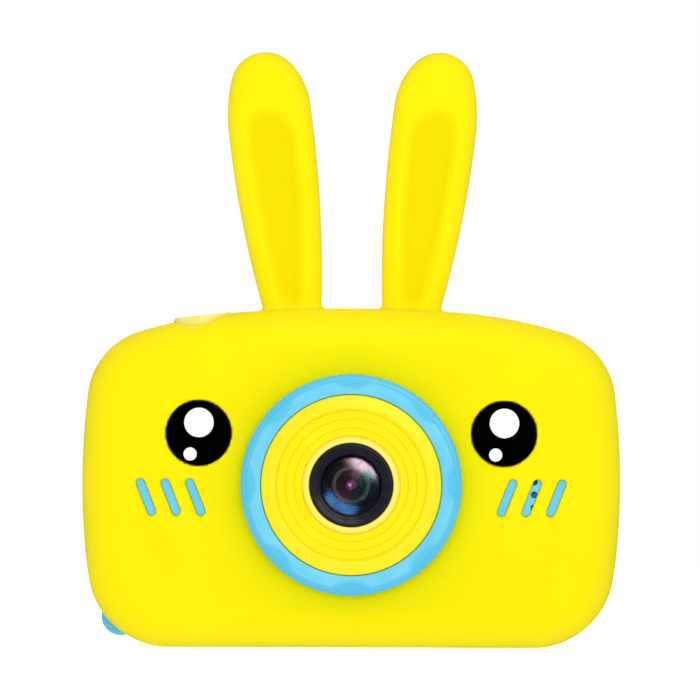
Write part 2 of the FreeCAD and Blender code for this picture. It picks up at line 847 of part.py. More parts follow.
def front_shell():
    block = outline_block(
        "front_block", "shell_inset", "shell_front", "parting", "shell_front_round"
    )
    cavity = outline_block(
        "front_cavity",
        "shell_inner_inset",
        "shell_front + shell_wall",
        "parting + 10",
        "cavity_front_round",
    )
    tongue_outer = outline_block("tongue", "tongue_inset", "parting - 1", "parting + tongue_height")
    tongue = cut("tongue_ring", tongue_outer, [cavity])
    shell = cut("front_case", block, [cavity])

    collar = cylinder(
        "lens_collar",
        (0, "collar_front", "lens_z"),
        "y",
        "collar_radius",
        "shell_front + 1 - collar_front",
    )
    bosses = four_bosses("front_boss", "shell_front + 1", "parting", "boss_radius")
    guide = common(
        "shutter_guide",
        cylinder(
            "guide_tube",
            ("shutter_x", "shutter_y", "shutter_guide_low"),
            "z",
            "shutter_guide_radius",
            10,
        ),
        block,
    )
    wall = cylinder(
        "speaker_wall",
        ("sound_hole_x", "shell_front + 1", "sound_hole_z"),
        "y",
        "speaker_radius + 1.2",
        "shell_wall + 2",
    )
    shelf_low = "shutter_board_low - 1.6"
    shelf = box(
        "shutter_shelf",
        ("shutter_x - 5.6", "shell_front + 1", shelf_low),
        (11.2, 10.4, 1.6),
    )
    ribs = [
        cheek_slot(
            f"cheek_rib{side}{index}".replace("-", "m"),
            side,
            index,
            "slot_half_width - slot_rib_gap",
            "slot_half_run",
            "sleeve_front + slot_rib_sunk",
            "shell_front + 0.5",
        )
        for side in (-1, 1)
        for index in range(3)
    ]
    solid = fuse("front_solid", [shell, tongue, collar, *bosses, guide, wall, shelf, *ribs])

    tools = [
        cylinder("lens_bore", (0, "collar_front - 1", "lens_z"), "y", "collar_bore", 20),
        cylinder(
            "shutter_bore", ("shutter_x", "shutter_y", "shutter_guide_low - 1"), "z", "shutter_hole", 20
        ),
        cylinder(
            "speaker_seat",
            ("sound_hole_x", "shell_front + shell_wall", "sound_hole_z"),
            "y",
            "speaker_radius + 0.1",
            10,
        ),
        box(
            "shelf_window",
            ("shutter_x - 4", "shell_front + shell_wall + 1.6", "shutter_board_low - 3"),
            (8, 6.6, 6),
        ),
    ]
    tools += four_bosses("front_pilot", "shell_front + shell_wall", "parting + 1", "pilot_radius")
    for step in range(3):
        z = f"sound_hole_z - sound_hole_pitch + {step} * sound_hole_pitch"
        tools.append(
            cylinder("sound_hole", ("sound_hole_x", "sleeve_front - 1", z), "y", "sound_hole_radius", 5)
        )
    return cut("front_shell", solid, tools)


KEY_ANGLES = {"right_key": 0, "up_key": 90, "left_key": 180, "down_key": 270}


def key_sector(name, angle, grow, front, back, corner=None):
    """A quarter of the direction pad between two radii, grown on every side by grow. Seen from
    the front, angle 0 is towards +X; it turns from +X to +Z."""
    body = new_body(name)
    sketch = sketch_on(body, name + "_outline", "XZ", (0, 0, minus(front)))
    inner, outer = dim("pad_inner") - grow, dim("pad_outer") + grow
    half = math.radians(dim("pad_half_angle"))

    def spot(radius, way):
        spread = way * (half + math.asin(grow / radius))
        return radius * math.cos(spread), radius * math.sin(spread)

    low_in, low_out = spot(inner, -1), spot(outer, -1)
    high_out, high_in = spot(outer, 1), spot(inner, 1)
    profile(
        sketch,
        [
            (*low_in,),
            (*low_out, f"pad_outer + {grow}"),
            (*high_out,),
            (*high_in, f"{grow} - pad_inner"),
        ],
    )
    padded = pad(body, sketch, f"{back} {minus(front)}", towards_back=True)
    if corner:
        round_edges(body, padded, corner, in_plane("y", amount(back)))
    body.Placement = Placement(Vector(), Rotation(Vector(0, -1, 0), angle))
    bind(body, "Placement.Base.x", "pad_x")
    bind(body, "Placement.Base.z", "pad_z")
    return body


ROUND_KEYS = {
    "ok_key": ("pad_x", "pad_z", "ok_radius"),
    "mode_key": ("mode_key_x", "small_key_z", "small_key_radius"),
    "power_key": ("power_key_x", "small_key_z", "small_key_radius"),
}


def switch_spots():
    """Where each key's switch sits, as x and z formulas."""
    spots = {name: (x, z) for name, (x, z, _) in ROUND_KEYS.items()}
    for name, angle in KEY_ANGLES.items():
        turn = math.radians(angle)
        across, up = round(math.cos(turn)), round(math.sin(turn))
        spots[name] = (
            f"pad_x + {across} * pad_switch_reach" if across >= 0 else "pad_x - pad_switch_reach",
            f"pad_z + {up} * pad_switch_reach" if up >= 0 else "pad_z - pad_switch_reach",
        )
    return spots


def rear_shell():
    block = outline_block(
        "rear_block", "shell_inset", "parting", "shell_back", None, "shell_back_round"
    )
    cavity = outline_block(
        "rear_cavity", "shell_inner_inset", "parting - 10", "shell_back - shell_wall"
    )
    shell = cut("rear_case", block, [cavity])
    groove_back = "parting + tongue_height + fit_gap"
    groove = cut(
        "tongue_groove",
        outline_block("groove_outer", "tongue_inset - fit_gap", "parting - 1", groove_back),
        [
            outline_block(
                "groove_inner",
                "shell_inner_inset + fit_gap",
                "parting - 2",
                groove_back + " + 1",
            )
        ],
    )
    bosses = four_bosses("rear_tube", "parting", "shell_back - 1", "boss_radius")
    posts = [
        cylinder(
            "board_post",
            (x, "board_back", z),
            "y",
            "board_post_radius",
            "shell_back - 1 - board_back",
        )
        for x in ("board_post_right", "board_post_left")
        for z in ("board_post_low", "board_post_high")
    ]
    pocket_wall = common(
        "lanyard_pocket_wall",
        cylinder("pocket_drum", ("eyelet_x", "parting", "eyelet_z"), "y", "eyelet_pocket_wall", FAR),
        block,
    )
    solid = fuse("rear_solid", [shell, *bosses, *posts, pocket_wall])

    tools = [
        groove,
        plate(
            "window_recess",
            ("screen_x", "screen_z"),
            ("window_width + 0.2", "window_height + 0.2"),
            ("shell_back - window_thick", "shell_back + 1"),
            "window_corner + 0.1",
        ),
        plate(
            "view_opening",
            ("screen_x", "screen_z"),
            ("view_width", "view_height"),
            ("shell_back - 4", "shell_back + 1"),
            "1",
        ),
        cylinder(
            "lanyard_pocket", ("eyelet_x", "eyelet_pocket_front", "eyelet_z"), "y", "eyelet_pocket", 30
        ),
        box(
            "port_window",
            ("sleeve_half_width - 8", "port_window_front", "port_window_low"),
            (12, "port_window_back - port_window_front", "port_window_high - port_window_low"),
        ),
        cylinder("sound_inlet", ("pad_x", 10, "board_post_low + 4.3"), "y", 0.6, 12),
        cylinder("status_hole", ("pad_x + 0.5", 10, "board_post_high - 1.6"), "y", 1.05, 12),
        *eyelet_foot("eyelet_slot", "0.05"),
    ]
    tools += [
        key_sector(name + "_opening", angle, dim("key_clearance"), "shell_back - 4", "shell_back + 1")
        for name, angle in KEY_ANGLES.items()
    ]
    tools += [
        cylinder(name + "_hole", (x, "shell_back - 4", z), "y", f"{radius} + key_clearance", 6)
        for name, (x, z, radius) in ROUND_KEYS.items()
    ]
    tools += four_bosses("screw_hole", "parting - 1", "shell_back + 1", "screw_hole_radius")
    tools += four_bosses("counterbore", "screw_seat", "shell_back + 1", "counterbore_radius")
    tools += [
        cylinder("post_pilot", (x, "board_back - 1", z), "y", 0.85, 6.5)
        for x in ("board_post_right", "board_post_left")
        for z in ("board_post_low", "board_post_high")
    ]
    anchor = port_anchor_foot("anchor_slot", "0.05")
    return cut("rear_shell", solid, [*tools, anchor])


# ---------------------------------------------------------------- the lanyard eyelet


def eyelet_foot(name, grow):
    """The eyelet's tab and its head, which hooks behind the pocket's wall."""
    found = []
    for part, reach, length, half in (("tab", 2.0, 5.6, 2.0), ("head", 6.4, 1.6, 3.4)):
        tab = doc.addObject("Part::Box", f"{name}_{part}")
        bind(tab, "Length", f"{length} + 2 * {grow}")
        bind(tab, "Width", f"eyelet_back - eyelet_front + 2 * {grow}")
        bind(tab, "Height", f"{2 * half} + 2 * {grow}")
        slope = Rotation(Vector(0, -1, 0), 49)
        corner = slope.multVec(Vector(reach - float(grow), 0, -half - float(grow)))
        tab.Placement = Placement(Vector(), slope)
        bind(tab, "Placement.Base.x", f"eyelet_x + {corner.x:.6f}")
        bind(tab, "Placement.Base.y", f"eyelet_front - {grow}")
        bind(tab, "Placement.Base.z", f"eyelet_z + {corner.z:.6f}".replace("+ -", "- "))
        found.append(tab)
    return found


def lanyard_eyelet():
    width = "eyelet_back - eyelet_front"
    start = ("eyelet_x", "eyelet_front", "eyelet_z")
    disc = cylinder("eyelet_disc", start, "y", "eyelet_radius", width)
    solid = fuse("eyelet_solid", [disc, *eyelet_foot("eyelet_foot", "0")])
    start = ("eyelet_x", "eyelet_front - 1", "eyelet_z")
    return cut("lanyard_eyelet", solid, [cylinder("eyelet_hole", start, "y", "eyelet_bore", 6)])


# ---------------------------------------------------------------- the lens


def lens_bezel():
    """The yellow stepped funnel between the knurled ring and the lens barrel."""
    return turned(
        "lens_bezel",
        [
            ("bezel_bore", -18.2),
            ("bezel_bore", -10.0),
            (9.3, -10.0),
            (9.3, -16.0),
            (13.2, -16.0),
            (13.2, -11.0),
            ("bezel_body_radius", -11.0),
            ("bezel_body_radius", "ring_lip_front - 0.2"),
            ("bezel_flange_radius", "ring_lip_front - 0.2"),
            ("bezel_flange_radius", -19.0),
            ("bezel_crest_radius + 0.5", "bezel_crest"),
            ("bezel_crest_radius", "bezel_crest + 0.3"),
            ("bezel_crest_radius", -18.9),
            ("bezel_step_two", -18.7),
            ("bezel_step_two", -18.1),
            ("bezel_step_three", -17.9),
            ("bezel_step_three", -17.3),
            ("bezel_rim_radius", -17.2),
            ("bezel_rim_radius", -18.1),
            ("bezel_rim_radius - 0.35", -18.6),
            ("bezel_bore + 0.3", -18.6),
        ],
    )


def focus_ring():
    """The blue ring: a crowned face, eight finger scoops and a knurled rim."""
    blank = turned(
        "ring_blank",
        [
            ("ring_face_inner", "ring_lip_front"),
            ("ring_lip_bore", "ring_lip_front"),
            ("ring_lip_bore", "ring_lip_back"),
            ("ring_bore", "ring_lip_back"),
            ("ring_bore", "ring_back"),
            ("ring_root_radius", "ring_back"),
            ("ring_tip_radius + 0.1", "ring_back - 0.6"),
            ("ring_tip_radius + 0.1", "ring_crown + 1.0"),
            ("ring_root_radius - 0.1", "ring_crown + 0.3"),
            (17.8, "ring_crown"),
            ("ring_face_inner", "ring_crown + 0.4"),
        ],
    )
    teeth = int(dim("ring_teeth"))
    points = []
    for i in range(2 * teeth):
        radius = dim("ring_tip_radius" if i % 2 else "ring_root_radius")
        turn = math.pi * i / teeth
        x, z = radius * math.cos(turn), radius * math.sin(turn)
        points.append(Vector(x, dim("ring_crown") - 1, dim("lens_z") + z))
    knurl = doc.addObject("Part::Feature", "knurl")
    knurl.Shape = Part.Face(Part.makePolygon([*points, points[0]])).extrude(Vector(0, 9, 0))
    knurled = common("knurled_ring", blank, knurl)
    scoops = []
    count = int(dim("ring_scoops"))
    reach = dim("scoop_reach")
    for i in range(count):
        turn = 2 * math.pi * i / count
        scoop = sphere("ring_scoop", (0, 0, 0), "scoop_radius")
        bind(scoop, "Placement.Base.x", f"{reach * math.cos(turn):.4f}")
        bind(scoop, "Placement.Base.y", "ring_crown + scoop_depth - scoop_radius")
        bind(scoop, "Placement.Base.z", f"lens_z + {reach * math.sin(turn):.4f}".replace("+ -", "- "))
        scoops.append(scoop)
    return cut("focus_ring", knurled, scoops)


def lens_barrel():
    return turned(
        "lens_barrel",
        [
            (6.0, -18.0),
            ("front_lens_radius + 0.05", -17.2),
            ("front_lens_radius + 0.05", -15.4),
            ("baffle_radius + 0.05", -15.4),
            ("baffle_radius + 0.05", -9.0),
            (2.4, -9.0),
            (2.4, -7.6),
            (6.0, -7.6),
            (6.0, -9.8),
            ("barrel_radius", -9.8),
            ("barrel_radius", -18.3),
            (7.0, -18.5),
        ],
    )


def lens_glass():
    """The three glass elements, front to back."""
    front = turned(
        "front_lens",
        [
            (0, -15.6),
            (0, -18.3, 10.0),
            ("front_lens_radius", -16.75),
            ("front_lens_radius", -15.45),
            (4.6, -15.45),
            (4.6, -15.6),
        ],
    )
    inner = turned(
        "inner_lens",
        [(0, -12.6), (0, -14.6, 4.6), ("baffle_bore", -13.78), ("baffle_bore", -12.6)],
    )
    rear = turned(
        "rear_lens",
        [(0, -9.8), (0, -11.3, 6.0), (2.3, -10.84), (2.3, -9.8)],
    )
    return front, inner, rear


def lens_spacers():
    """The grey ring that shows round the inner lens, and the black disc with the pupil."""
    baffle = turned(
        "lens_baffle",
        [
            ("baffle_bore + 0.05", -14.0),
            ("baffle_bore + 0.05", -12.4),
            ("baffle_radius", -12.4),
            ("baffle_radius", -15.2),
            (3.1, -15.3),
        ],
    )
    pupil = turned(
        "aperture_disc",
        [
            ("pupil_radius", -12.0),
            ("pupil_radius + 0.3", -11.4),
            ("baffle_radius", -11.4),
            ("baffle_radius", -12.35),
            (2.0, -12.35),
        ],
    )
    return baffle, pupil


def sensor_module():
    """The camera module behind the lens: holder, filter, sensor and its little board."""
    z = "lens_z"
    holder = cut(
        "lens_holder",
        box("holder_block", (-7, -9.6, z + " - 7"), (14, 6.0, 14)),
        [
            cylinder("holder_bore", (0, -11, z), "y", 6.05, 4.0),
            box("holder_window", (-4, -8, z + " - 4"), (8, 6, 8)),
        ],
    )
    ir_filter = box("ir_filter", (-3.9, -6.6, z + " - 3.9"), (7.8, 0.3, 7.8))
    sensor = box("image_sensor", (-3.2, -4.6, z + " - 3.2"), (6.4, 1.0, 6.4))
    board = box(
        "sensor_board",
        (
            "0 - sensor_board_width / 2",
            "sensor_board_back - sensor_board_thick",
            "lens_z - sensor_board_width / 2",
        ),
        ("sensor_board_width", "sensor_board_thick", "sensor_board_width"),
    )
    return holder, ir_filter, sensor, board


# ---------------------------------------------------------------- routes for leads and flexes


def rounded_route(points, share=0.45):
    """A path of straight runs joined by tangent arcs, each as large as its two runs allow."""
    points = [Vector(*p) for p in points]
    edges = []
    at = points[0]
    for before, corner, after in zip(points, points[1:], points[2:]):
        back, ahead = before - corner, after - corner
        turn = math.pi - back.getAngle(ahead)
        trim = share * min(back.Length, ahead.Length)
        first = corner + Vector(back).normalize() * trim
        last = corner + Vector(ahead).normalize() * trim
        radius = trim / math.tan(turn / 2)
        middle = Vector(back).normalize() + Vector(ahead).normalize()
        centre = corner + middle.normalize() * math.hypot(radius, trim)
        halfway = centre + Vector(corner - centre).normalize() * radius
        edges.append(Part.LineSegment(at, first).toShape())
        edges.append(Part.Arc(first, halfway, last).toShape())
        at = last
    edges.append(Part.LineSegment(at, points[-1]).toShape())
    return Part.Wire(edges)


def swept(route, section):
    shell = Part.BRepOffsetAPI.MakePipeShell(route)
    shell.setFrenetMode(False)
    shell.add(section)
    shell.build()
    shell.makeSolid()
    return shell.shape()


def lead(points, radius=0.45):
    """One insulated wire along a route."""
    route = rounded_route(points)
    ahead = Vector(*points[1]) - Vector(*points[0])
    ring = Part.Wire(Part.makeCircle(radius, Vector(*points[0]), ahead))
    return swept(route, ring)


def flex(points, width, thick=0.25):
    """A flat flexible strip: a route in a plane of constant x, with its width along X."""
    route = rounded_route(points, 0.48)
    side = Vector(width / 2, 0, 0)
    start = Vector(*points[0])
    ahead = Vector(*points[1]) - start
    up = ahead.cross(Vector(1, 0, 0)).normalize() * (thick / 2)
    corners = [start - side - up, start + side - up, start + side + up, start - side + up]
    return swept(route, Part.makePolygon([*corners, corners[0]]))


def feature(name, shape):
    thing = doc.addObject("Part::Feature", name)
    thing.Shape = shape
    return thing


def leads():
    """The red and the black wires: battery, speaker and shutter board to the main board."""
    battery_top = dim("battery_low") + dim("battery_height")
    battery_y = dim("battery_front") + dim("battery_thick") / 2
    board = dim("board_front")
    speaker_back = dim("shell_front") + dim("shell_wall") + dim("speaker_thick")
    speaker_z = dim("sound_hole_z")
    shelf = dim("shutter_board_high")
    colours = {"red_leads": 0.0, "black_leads": 1.6}
    found = []
    for name, shift in colours.items():
        x = -17.6 + shift
        battery = [
            (x, battery_y, battery_top),
            (x, battery_y, battery_top + 3.4),
            (x, battery_y + 4.0, battery_top + 6.2),
            (x, board - 1.8, battery_top + 5.2),
            (x, board - 1.8, battery_top + 2.9),
        ]
        z = speaker_z + 2 * shift - 1.6
        speaker = [
            (26.5, speaker_back, z),
            (26.5, speaker_back + 3.2, z),
            (22.5, speaker_back + 6.4, z + 0.6),
            (20.5, board - 3.4, z + 0.6),
            (20.5, board, z + 0.6),
        ]
        x = dim("shutter_x") - 2.4 + 3 * shift
        shutter = [
            (x, 0.6, shelf),
            (x, 0.6, shelf + 1.9),
            (x, 3.6, shelf + 2.6),
            (x, 6.0, shelf + 1.0),
            (x, board, shelf + 1.0),
        ]
        wires = [lead(route) for route in (battery, speaker, shutter)]
        found.append(feature(name, Part.makeCompound(wires)))
    return found


def flexes():
    """The sensor's and the screen's flat cables."""
    z = dim("lens_z")
    board = dim("board_front")
    sensor_back = dim("sensor_board_back")
    sensor = flex(
        [
            (0, sensor_back + 0.15, z - 3.0),
            (0, sensor_back + 0.15, z - 9.6),
            (0, sensor_back + 3.6, z - 13.6),
            (0, board - 1.5, z - 13.6),
        ],
        7.0,
    )
    low = dim("screen_z") - dim("lcd_height") / 2
    lcd = dim("lcd_front") + 1.2
    screen = flex(
        [
            (dim("screen_x"), lcd, low),
            (dim("screen_x"), lcd, low - 2.2),
            (dim("screen_x"), dim("board_back") + 0.9, low - 2.4),
            (dim("screen_x"), dim("board_back") + 0.5, low - 0.4),
        ],
        14.0,
    )
    return feature("sensor_flex", sensor), feature("lcd_flex", screen)


# ---------------------------------------------------------------- screen and boards


def screen():
    centre = ("screen_x", "screen_z")
    window = plate(
        "screen_window",
        centre,
        ("window_width", "window_height"),
        ("shell_back - window_thick", "shell_back"),
        "window_corner",
    )
    lcd = plate(
        "lcd_panel", centre, ("lcd_width", "lcd_height"), ("lcd_front", "lcd_back"), "0.5"
    )
    inner_face = "shell_back - shell_wall"
    gasket = cut(
        "screen_gasket",
        plate(
            "gasket_blank", centre, ("lcd_width", "lcd_height"), ("lcd_back", inner_face), "0.5"
        ),
        [
            plate(
                "gasket_hole",
                centre,
                ("view_width", "view_height"),
                ("lcd_back - 1", "shell_back"),
                "1",
            )
        ],
    )
    carrier = cut(
        "lcd_carrier",
        plate(
            "carrier_blank", centre, ("lcd_width", "lcd_height"), ("board_back", "lcd_front"), "0.5"
        ),
        [
            plate(
                "carrier_hole",
                centre,
                ("lcd_width - 5", "lcd_height - 5"),
                ("board_back - 1", "lcd_front + 1"),
                "1",
            ),
            box(
                "flex_gate",
                ("screen_x - 8.2", "board_back - 1", "screen_z - lcd_height / 2 - 1"),
                (16.4, "lcd_front - board_back + 0.6", 4.2),
            ),
        ],
    )
    return window, lcd, gasket, carrier


def board_holes(name, start, radius, length):
    return [
        cylinder(name, (x, start, z), "y", radius, length)
        for x in ("board_post_right", "board_post_left")
        for z in ("board_post_low", "board_post_high")
    ]


def main_board():
    blank = outline_block("board_blank", "board_inset", "board_front", "board_back")
    tools = four_bosses("boss_relief", "board_front - 1", "board_back + 1", "boss_radius + 0.4")
    tools += board_holes("board_hole", "board_front - 1", "board_hole_radius", 4)
    tools.append(
        cylinder(
            "pocket_relief",
            ("eyelet_x", "board_front - 1", "eyelet_z"),
            "y",
            "eyelet_pocket_wall + 3",
            4,
        )
    )
    return cut("main_board", blank, tools)


def chip(name, x, z, width, height, thick):
    """A component on the board's front face."""
    return box(name, (x, f"board_front - {thick}", z), (width, thick, height))


def board_parts():
    chips = group(
        "board_chips",
        [
            chip("processor", 12, 34, 9, 9, 1.0),
            chip("memory", 24.5, 12, 6, 5, 0.9),
            chip("charger", -12, 36, 3, 3, 0.8),
            chip("amplifier", 12, 24, 4, 4, 0.8),
            chip("crystal", 12, 30.3, 3.2, 1.6, 0.7),
        ],
    )
    sockets = group(
        "board_sockets",
        [
            chip("sensor_socket", -5, 14.2, 10, 2.6, 1.5),
            box("screen_socket", (1, "board_back", 11.4), (16, 0.4, 4)),
            chip("battery_socket", -19.4, 42.4, 5.2, 3.5, 3.2),
        ],
    )
    led = cylinder(
        "status_led", ("pad_x + 0.5", "board_back", "board_post_high - 1.6"), "y", 1.0, 8.8
    )
    microphone = cylinder("microphone", ("pad_x", "board_back", "board_post_low + 4.3"), "y", 2.0, 1.6)
    return chips, sockets, led, microphone


def usb_socket():
    z = 20.9
    shell = box("usb_shell", (38.0, "board_front - 2.7", z), (5.7, 2.7, 7.6))
    mouth = box("usb_mouth", (39.2, "board_front - 2.4", z + 0.35), (6, 2.1, 6.9))
    tongue = box("usb_tongue", (38.6, "board_front - 1.6", z + 1.9), (4.2, 0.6, 3.8))
    return fuse("usb_socket", [cut("usb_can", shell, [mouth]), tongue])


def card_socket():
    shell = box("card_shell", (29.2, "board_front - 1.9", 29.6), (14.5, 1.9, 12.8))
    mouth = box("card_mouth", (30.4, "board_front - 1.5", 30.3), (15, 1.0, 11.4))
    return cut("card_socket", shell, [mouth])


def battery():
    low = ("battery_left", "battery_front", "battery_low")
    body = new_body("battery")
    sketch = sketch_on(
        body,
        "battery_outline",
        "YZ",
        ("battery_front + battery_thick / 2", "battery_low + battery_height / 2", "battery_left"),
    )
    rectangle(sketch, "battery_thick", "battery_height", "1.6")
    pad(body, sketch, "battery_width")
    tape = box(
        "battery_tape",
        ("battery_left + 4", "shell_front + shell_wall", "battery_low + 4"),
        (
            "battery_width - 8",
            "battery_front - shell_front - shell_wall",
            "battery_height - 8",
        ),
    )
    return body, tape


def speaker():
    """A small round loudspeaker: a metal can with a raised magnet cup behind."""
    back = "shell_front + shell_wall"
    start = ("sound_hole_x", back, "sound_hole_z")
    can = cylinder("speaker_can", start, "y", "speaker_radius", "speaker_thick - 1.4")
    cup = cylinder("speaker_cup", start, "y", "speaker_radius - 2.6", "speaker_thick")
    return fuse("speaker", [can, cup])


def screws(name, spots, head_radius, head_height, shank_radius, seat, tip):
    """Pan-head screws along Y whose heads face +Y, with a cross recess, as one node."""
    found = []
    for x, z in spots:
        head = cylinder("screw_head", (x, seat, z), "y", head_radius, head_height)
        shank = cylinder("screw_shank", (x, tip, z), "y", shank_radius, f"{seat} {minus(tip)}")
        solid = fuse("screw_solid", [head, shank])
        deep = "0.9"
        top = f"{seat} + {head_height} - {deep}"
        slots = [
            box("cross_one", (f"{x} - 1.1", top, f"{z} - 0.25"), (2.2, 2, 0.5)),
            box("cross_two", (f"{x} - 0.25", top, f"{z} - 1.1"), (0.5, 2, 2.2)),
        ]
        found.append(cut("screw", solid, slots))
    return group(name, found)


def housing_screws():
    spots = [(x, z) for x in ("boss_x", "-boss_x") for z in ("boss_low", "boss_high")]
    return screws(
        "housing_screws",
        spots,
        "screw_head_radius",
        "screw_head_height",
        "screw_radius",
        "screw_seat",
        "screw_tip",
    )


def board_screws():
    """Four screws from the front of the main board into the rear shell's posts."""
    found = []
    for x in ("board_post_right", "board_post_left"):
        for z in ("board_post_low", "board_post_high"):
            head = cylinder("board_screw_head", (x, "board_front - 1.2", z), "y", 1.8, 1.2)
            shank = cylinder("board_screw_shank", (x, "board_front", z), "y", 0.8, 6.0)
            solid = fuse("board_screw_solid", [head, shank])
            slots = [
                box("slot_one", (f"{x} - 1", "board_front - 2", f"{z} - 0.2"), (2, 1.4, 0.4)),
                box("slot_two", (f"{x} - 0.2", "board_front - 2", f"{z} - 1"), (0.4, 1.4, 2)),
            ]
            found.append(cut("board_screw", solid, slots))
    return group("board_screws", found)


# ---------------------------------------------------------------- keys and switches


def back_keys():
    """The seven keys on the back. Each has a cap, a flange under the shell and a stem."""
    found = []
    spots = switch_spots()
    for name, angle in KEY_ANGLES.items():
        cap = key_sector(name + "_cap", angle, 0.0, "key_flange_back", "key_back", "key_round")
        flange = key_sector(
            name + "_flange", angle, 0.45, "key_flange_front", "key_flange_back"
        )
        found.append(fuse(name, [cap, flange, key_stem(name, *spots[name])]))
    for name, (x, z, radius) in ROUND_KEYS.items():
        body = new_body(name + "_cap")
        sketch = sketch_on(body, name + "_outline", "XZ", (x, z, minus("key_flange_back")))
        circle(sketch, radius)
        padded = pad(body, sketch, "key_back - key_flange_back", towards_back=True)
        round_edges(body, padded, "key_round", in_plane("y", dim("key_back")))
        flange = cylinder(
            name + "_flange",
            (x, "key_flange_front", z),
            "y",
            f"{radius} + key_flange_margin",
            "key_flange_back - key_flange_front",
        )
        found.append(fuse(name, [body, flange, key_stem(name, x, z)]))
    return found


def key_stem(name, x, z):
    start = (x, "plunger_tip", z)
    return cylinder(name + "_stem", start, "y", "key_stem_radius", "key_flange_front - plunger_tip")


def back_switches():
    """The seven tact switches on the main board, and the plunger of each."""
    bodies = []
    plungers = []
    for name, (x, z) in switch_spots().items():
        half = "key_switch_size / 2"
        block = box(
            name + "_switch_block",
            (f"{x} - {half}", "board_back", f"{z} - {half}"),
            ("key_switch_size", "switch_height", "key_switch_size"),
        )
        bore = cylinder(
            name + "_switch_bore",
            (x, f"plunger_root - {BLIND}", z),
            "y",
            "switch_bore",
            6,
        )
        bodies.append(cut(name + "_switch", block, [bore]))
        plungers.append(
            cylinder(
                name.replace("_key", "_plunger"),
                (x, "plunger_root", z),
                "y",
                "plunger_radius",
                "plunger_tip - plunger_root",
            )
        )
    return group("key_switches", bodies), plungers


def shutter():
    """The shutter button, its switch on a little board, and the switch's plunger."""
    at = ("shutter_x", "shutter_y")
    post = cylinder("shutter_post", (*at, "shutter_flange_high"), "z", "shutter_radius", 12)
    trim = doc.addObject("Part::Box", "shutter_trim")
    bind(trim, "Length", 40)
    bind(trim, "Width", 40)
    bind(trim, "Height", 20)
    slope = Rotation(Vector(0, -1, 0), dim("shutter_lean"))
    corner = slope.multVec(Vector(-20, -20, 0))
    trim.Placement = Placement(Vector(), slope)
    bind(trim, "Placement.Base.x", f"shutter_x - {-corner.x:.6f}")
    bind(trim, "Placement.Base.y", "shutter_y - 20")
    bind(trim, "Placement.Base.z", f"shutter_top + {corner.z:.6f}".replace("+ -", "- "))
    dish = sphere("shutter_dish", (*at, "shutter_top + 17.6"), 18)
    cap = cut("shutter_cap", post, [trim, dish])
    flange = cut(
        "shutter_flange",
        cylinder(
            "flange_disc",
            (*at, "shutter_flange_low"),
            "z",
            "shutter_flange_radius",
            "shutter_flange_high - shutter_flange_low",
        ),
        [box("flange_flat", ("shutter_x - 10", "shell_front - 5", 50), (20, 8.3, 5))],
    )
    stem = cylinder(
        "shutter_stem",
        (*at, "shutter_plunger_tip"),
        "z",
        2.0,
        "shutter_flange_low - shutter_plunger_tip",
    )
    button = fuse("shutter_button", [cap, flange, stem])
    plunger = cylinder(
        "shutter_plunger", (*at, "shutter_plunger_tip - 2"), "z", "plunger_radius", 2
    )
    half = "switch_size / 2"
    block = box(
        "shutter_switch_block",
        (f"shutter_x - {half}", f"shutter_y - {half}", "shutter_board_high"),
        ("switch_size", "switch_size", "switch_height"),
    )
    bore = cylinder(
        "shutter_switch_bore", (*at, "shutter_plunger_tip - 3.1"), "z", "switch_bore", 6
    )
    switch = cut("shutter_switch", block, [bore])
    board = box(
        "shutter_board",
        ("shutter_x - 5.5", "shell_front + shell_wall + 0.1", "shutter_board_low"),
        (11, 10.6, "shutter_board_high - shutter_board_low"),
    )
    return button, plunger, switch, board


# ---------------------------------------------------------------- the port cover


def sleeve_side_ring():
    """A ring with the sleeve's own outer and inner side faces, for pieces flush with it."""
    outer = outline_block("side_outer", 0, "port_front - 2", "port_back + 2")
    inner = outline_block("side_inner", "sleeve_wall", "port_front - 4", "port_back + 4")
    return cut("side_ring", outer, [inner])


def port_anchor_foot(name, grow):
    """The barb that holds the port cover's anchor in the rear shell's side."""
    return box(
        name,
        ("sleeve_half_width - 5.6", f"port_front + 2.4 - {grow}", f"port_low + 1.0 - {grow}"),
        (4.6, f"port_back - port_front - 4.8 + 2 * {grow}", f"1.4 + 2 * {grow}"),
    )


def port_cover():
    """The blue rubber flap over the sockets, and the anchor that its thin hinge joins."""
    ring = sleeve_side_ring()
    x = "sleeve_half_width - 6"
    width = "port_back - port_front - 2 * port_gap"
    flap = common(
        "flap",
        ring,
        box(
            "flap_block",
            (x, "port_front + port_gap", "hinge_z"),
            (10, width, "port_high - hinge_z - port_gap"),
        ),
    )
    plug = box(
        "port_plug",
        (
            "sleeve_half_width - 2.9 - port_plug_depth",
            "port_window_front + 0.4",
            "port_window_low + 0.9",
        ),
        (
            "port_plug_depth + 1.4",
            "port_window_back - port_window_front - 0.8",
            "port_window_high - port_window_low - 1.6",
        ),
    )
    cover = fuse("port_cover", [flap, plug])
    stub = common(
        "anchor_stub",
        ring,
        box(
            "anchor_block",
            (x, "port_front + fit_gap", "port_low + fit_gap"),
            (10, "port_back - port_front - 2 * fit_gap", "hinge_z - port_low - 2 * fit_gap"),
        ),
    )
    anchor = fuse("port_cover_anchor", [stub, port_anchor_foot("anchor_foot", "0")])
    return cover, anchor


# ---------------------------------------------------------------- all of it


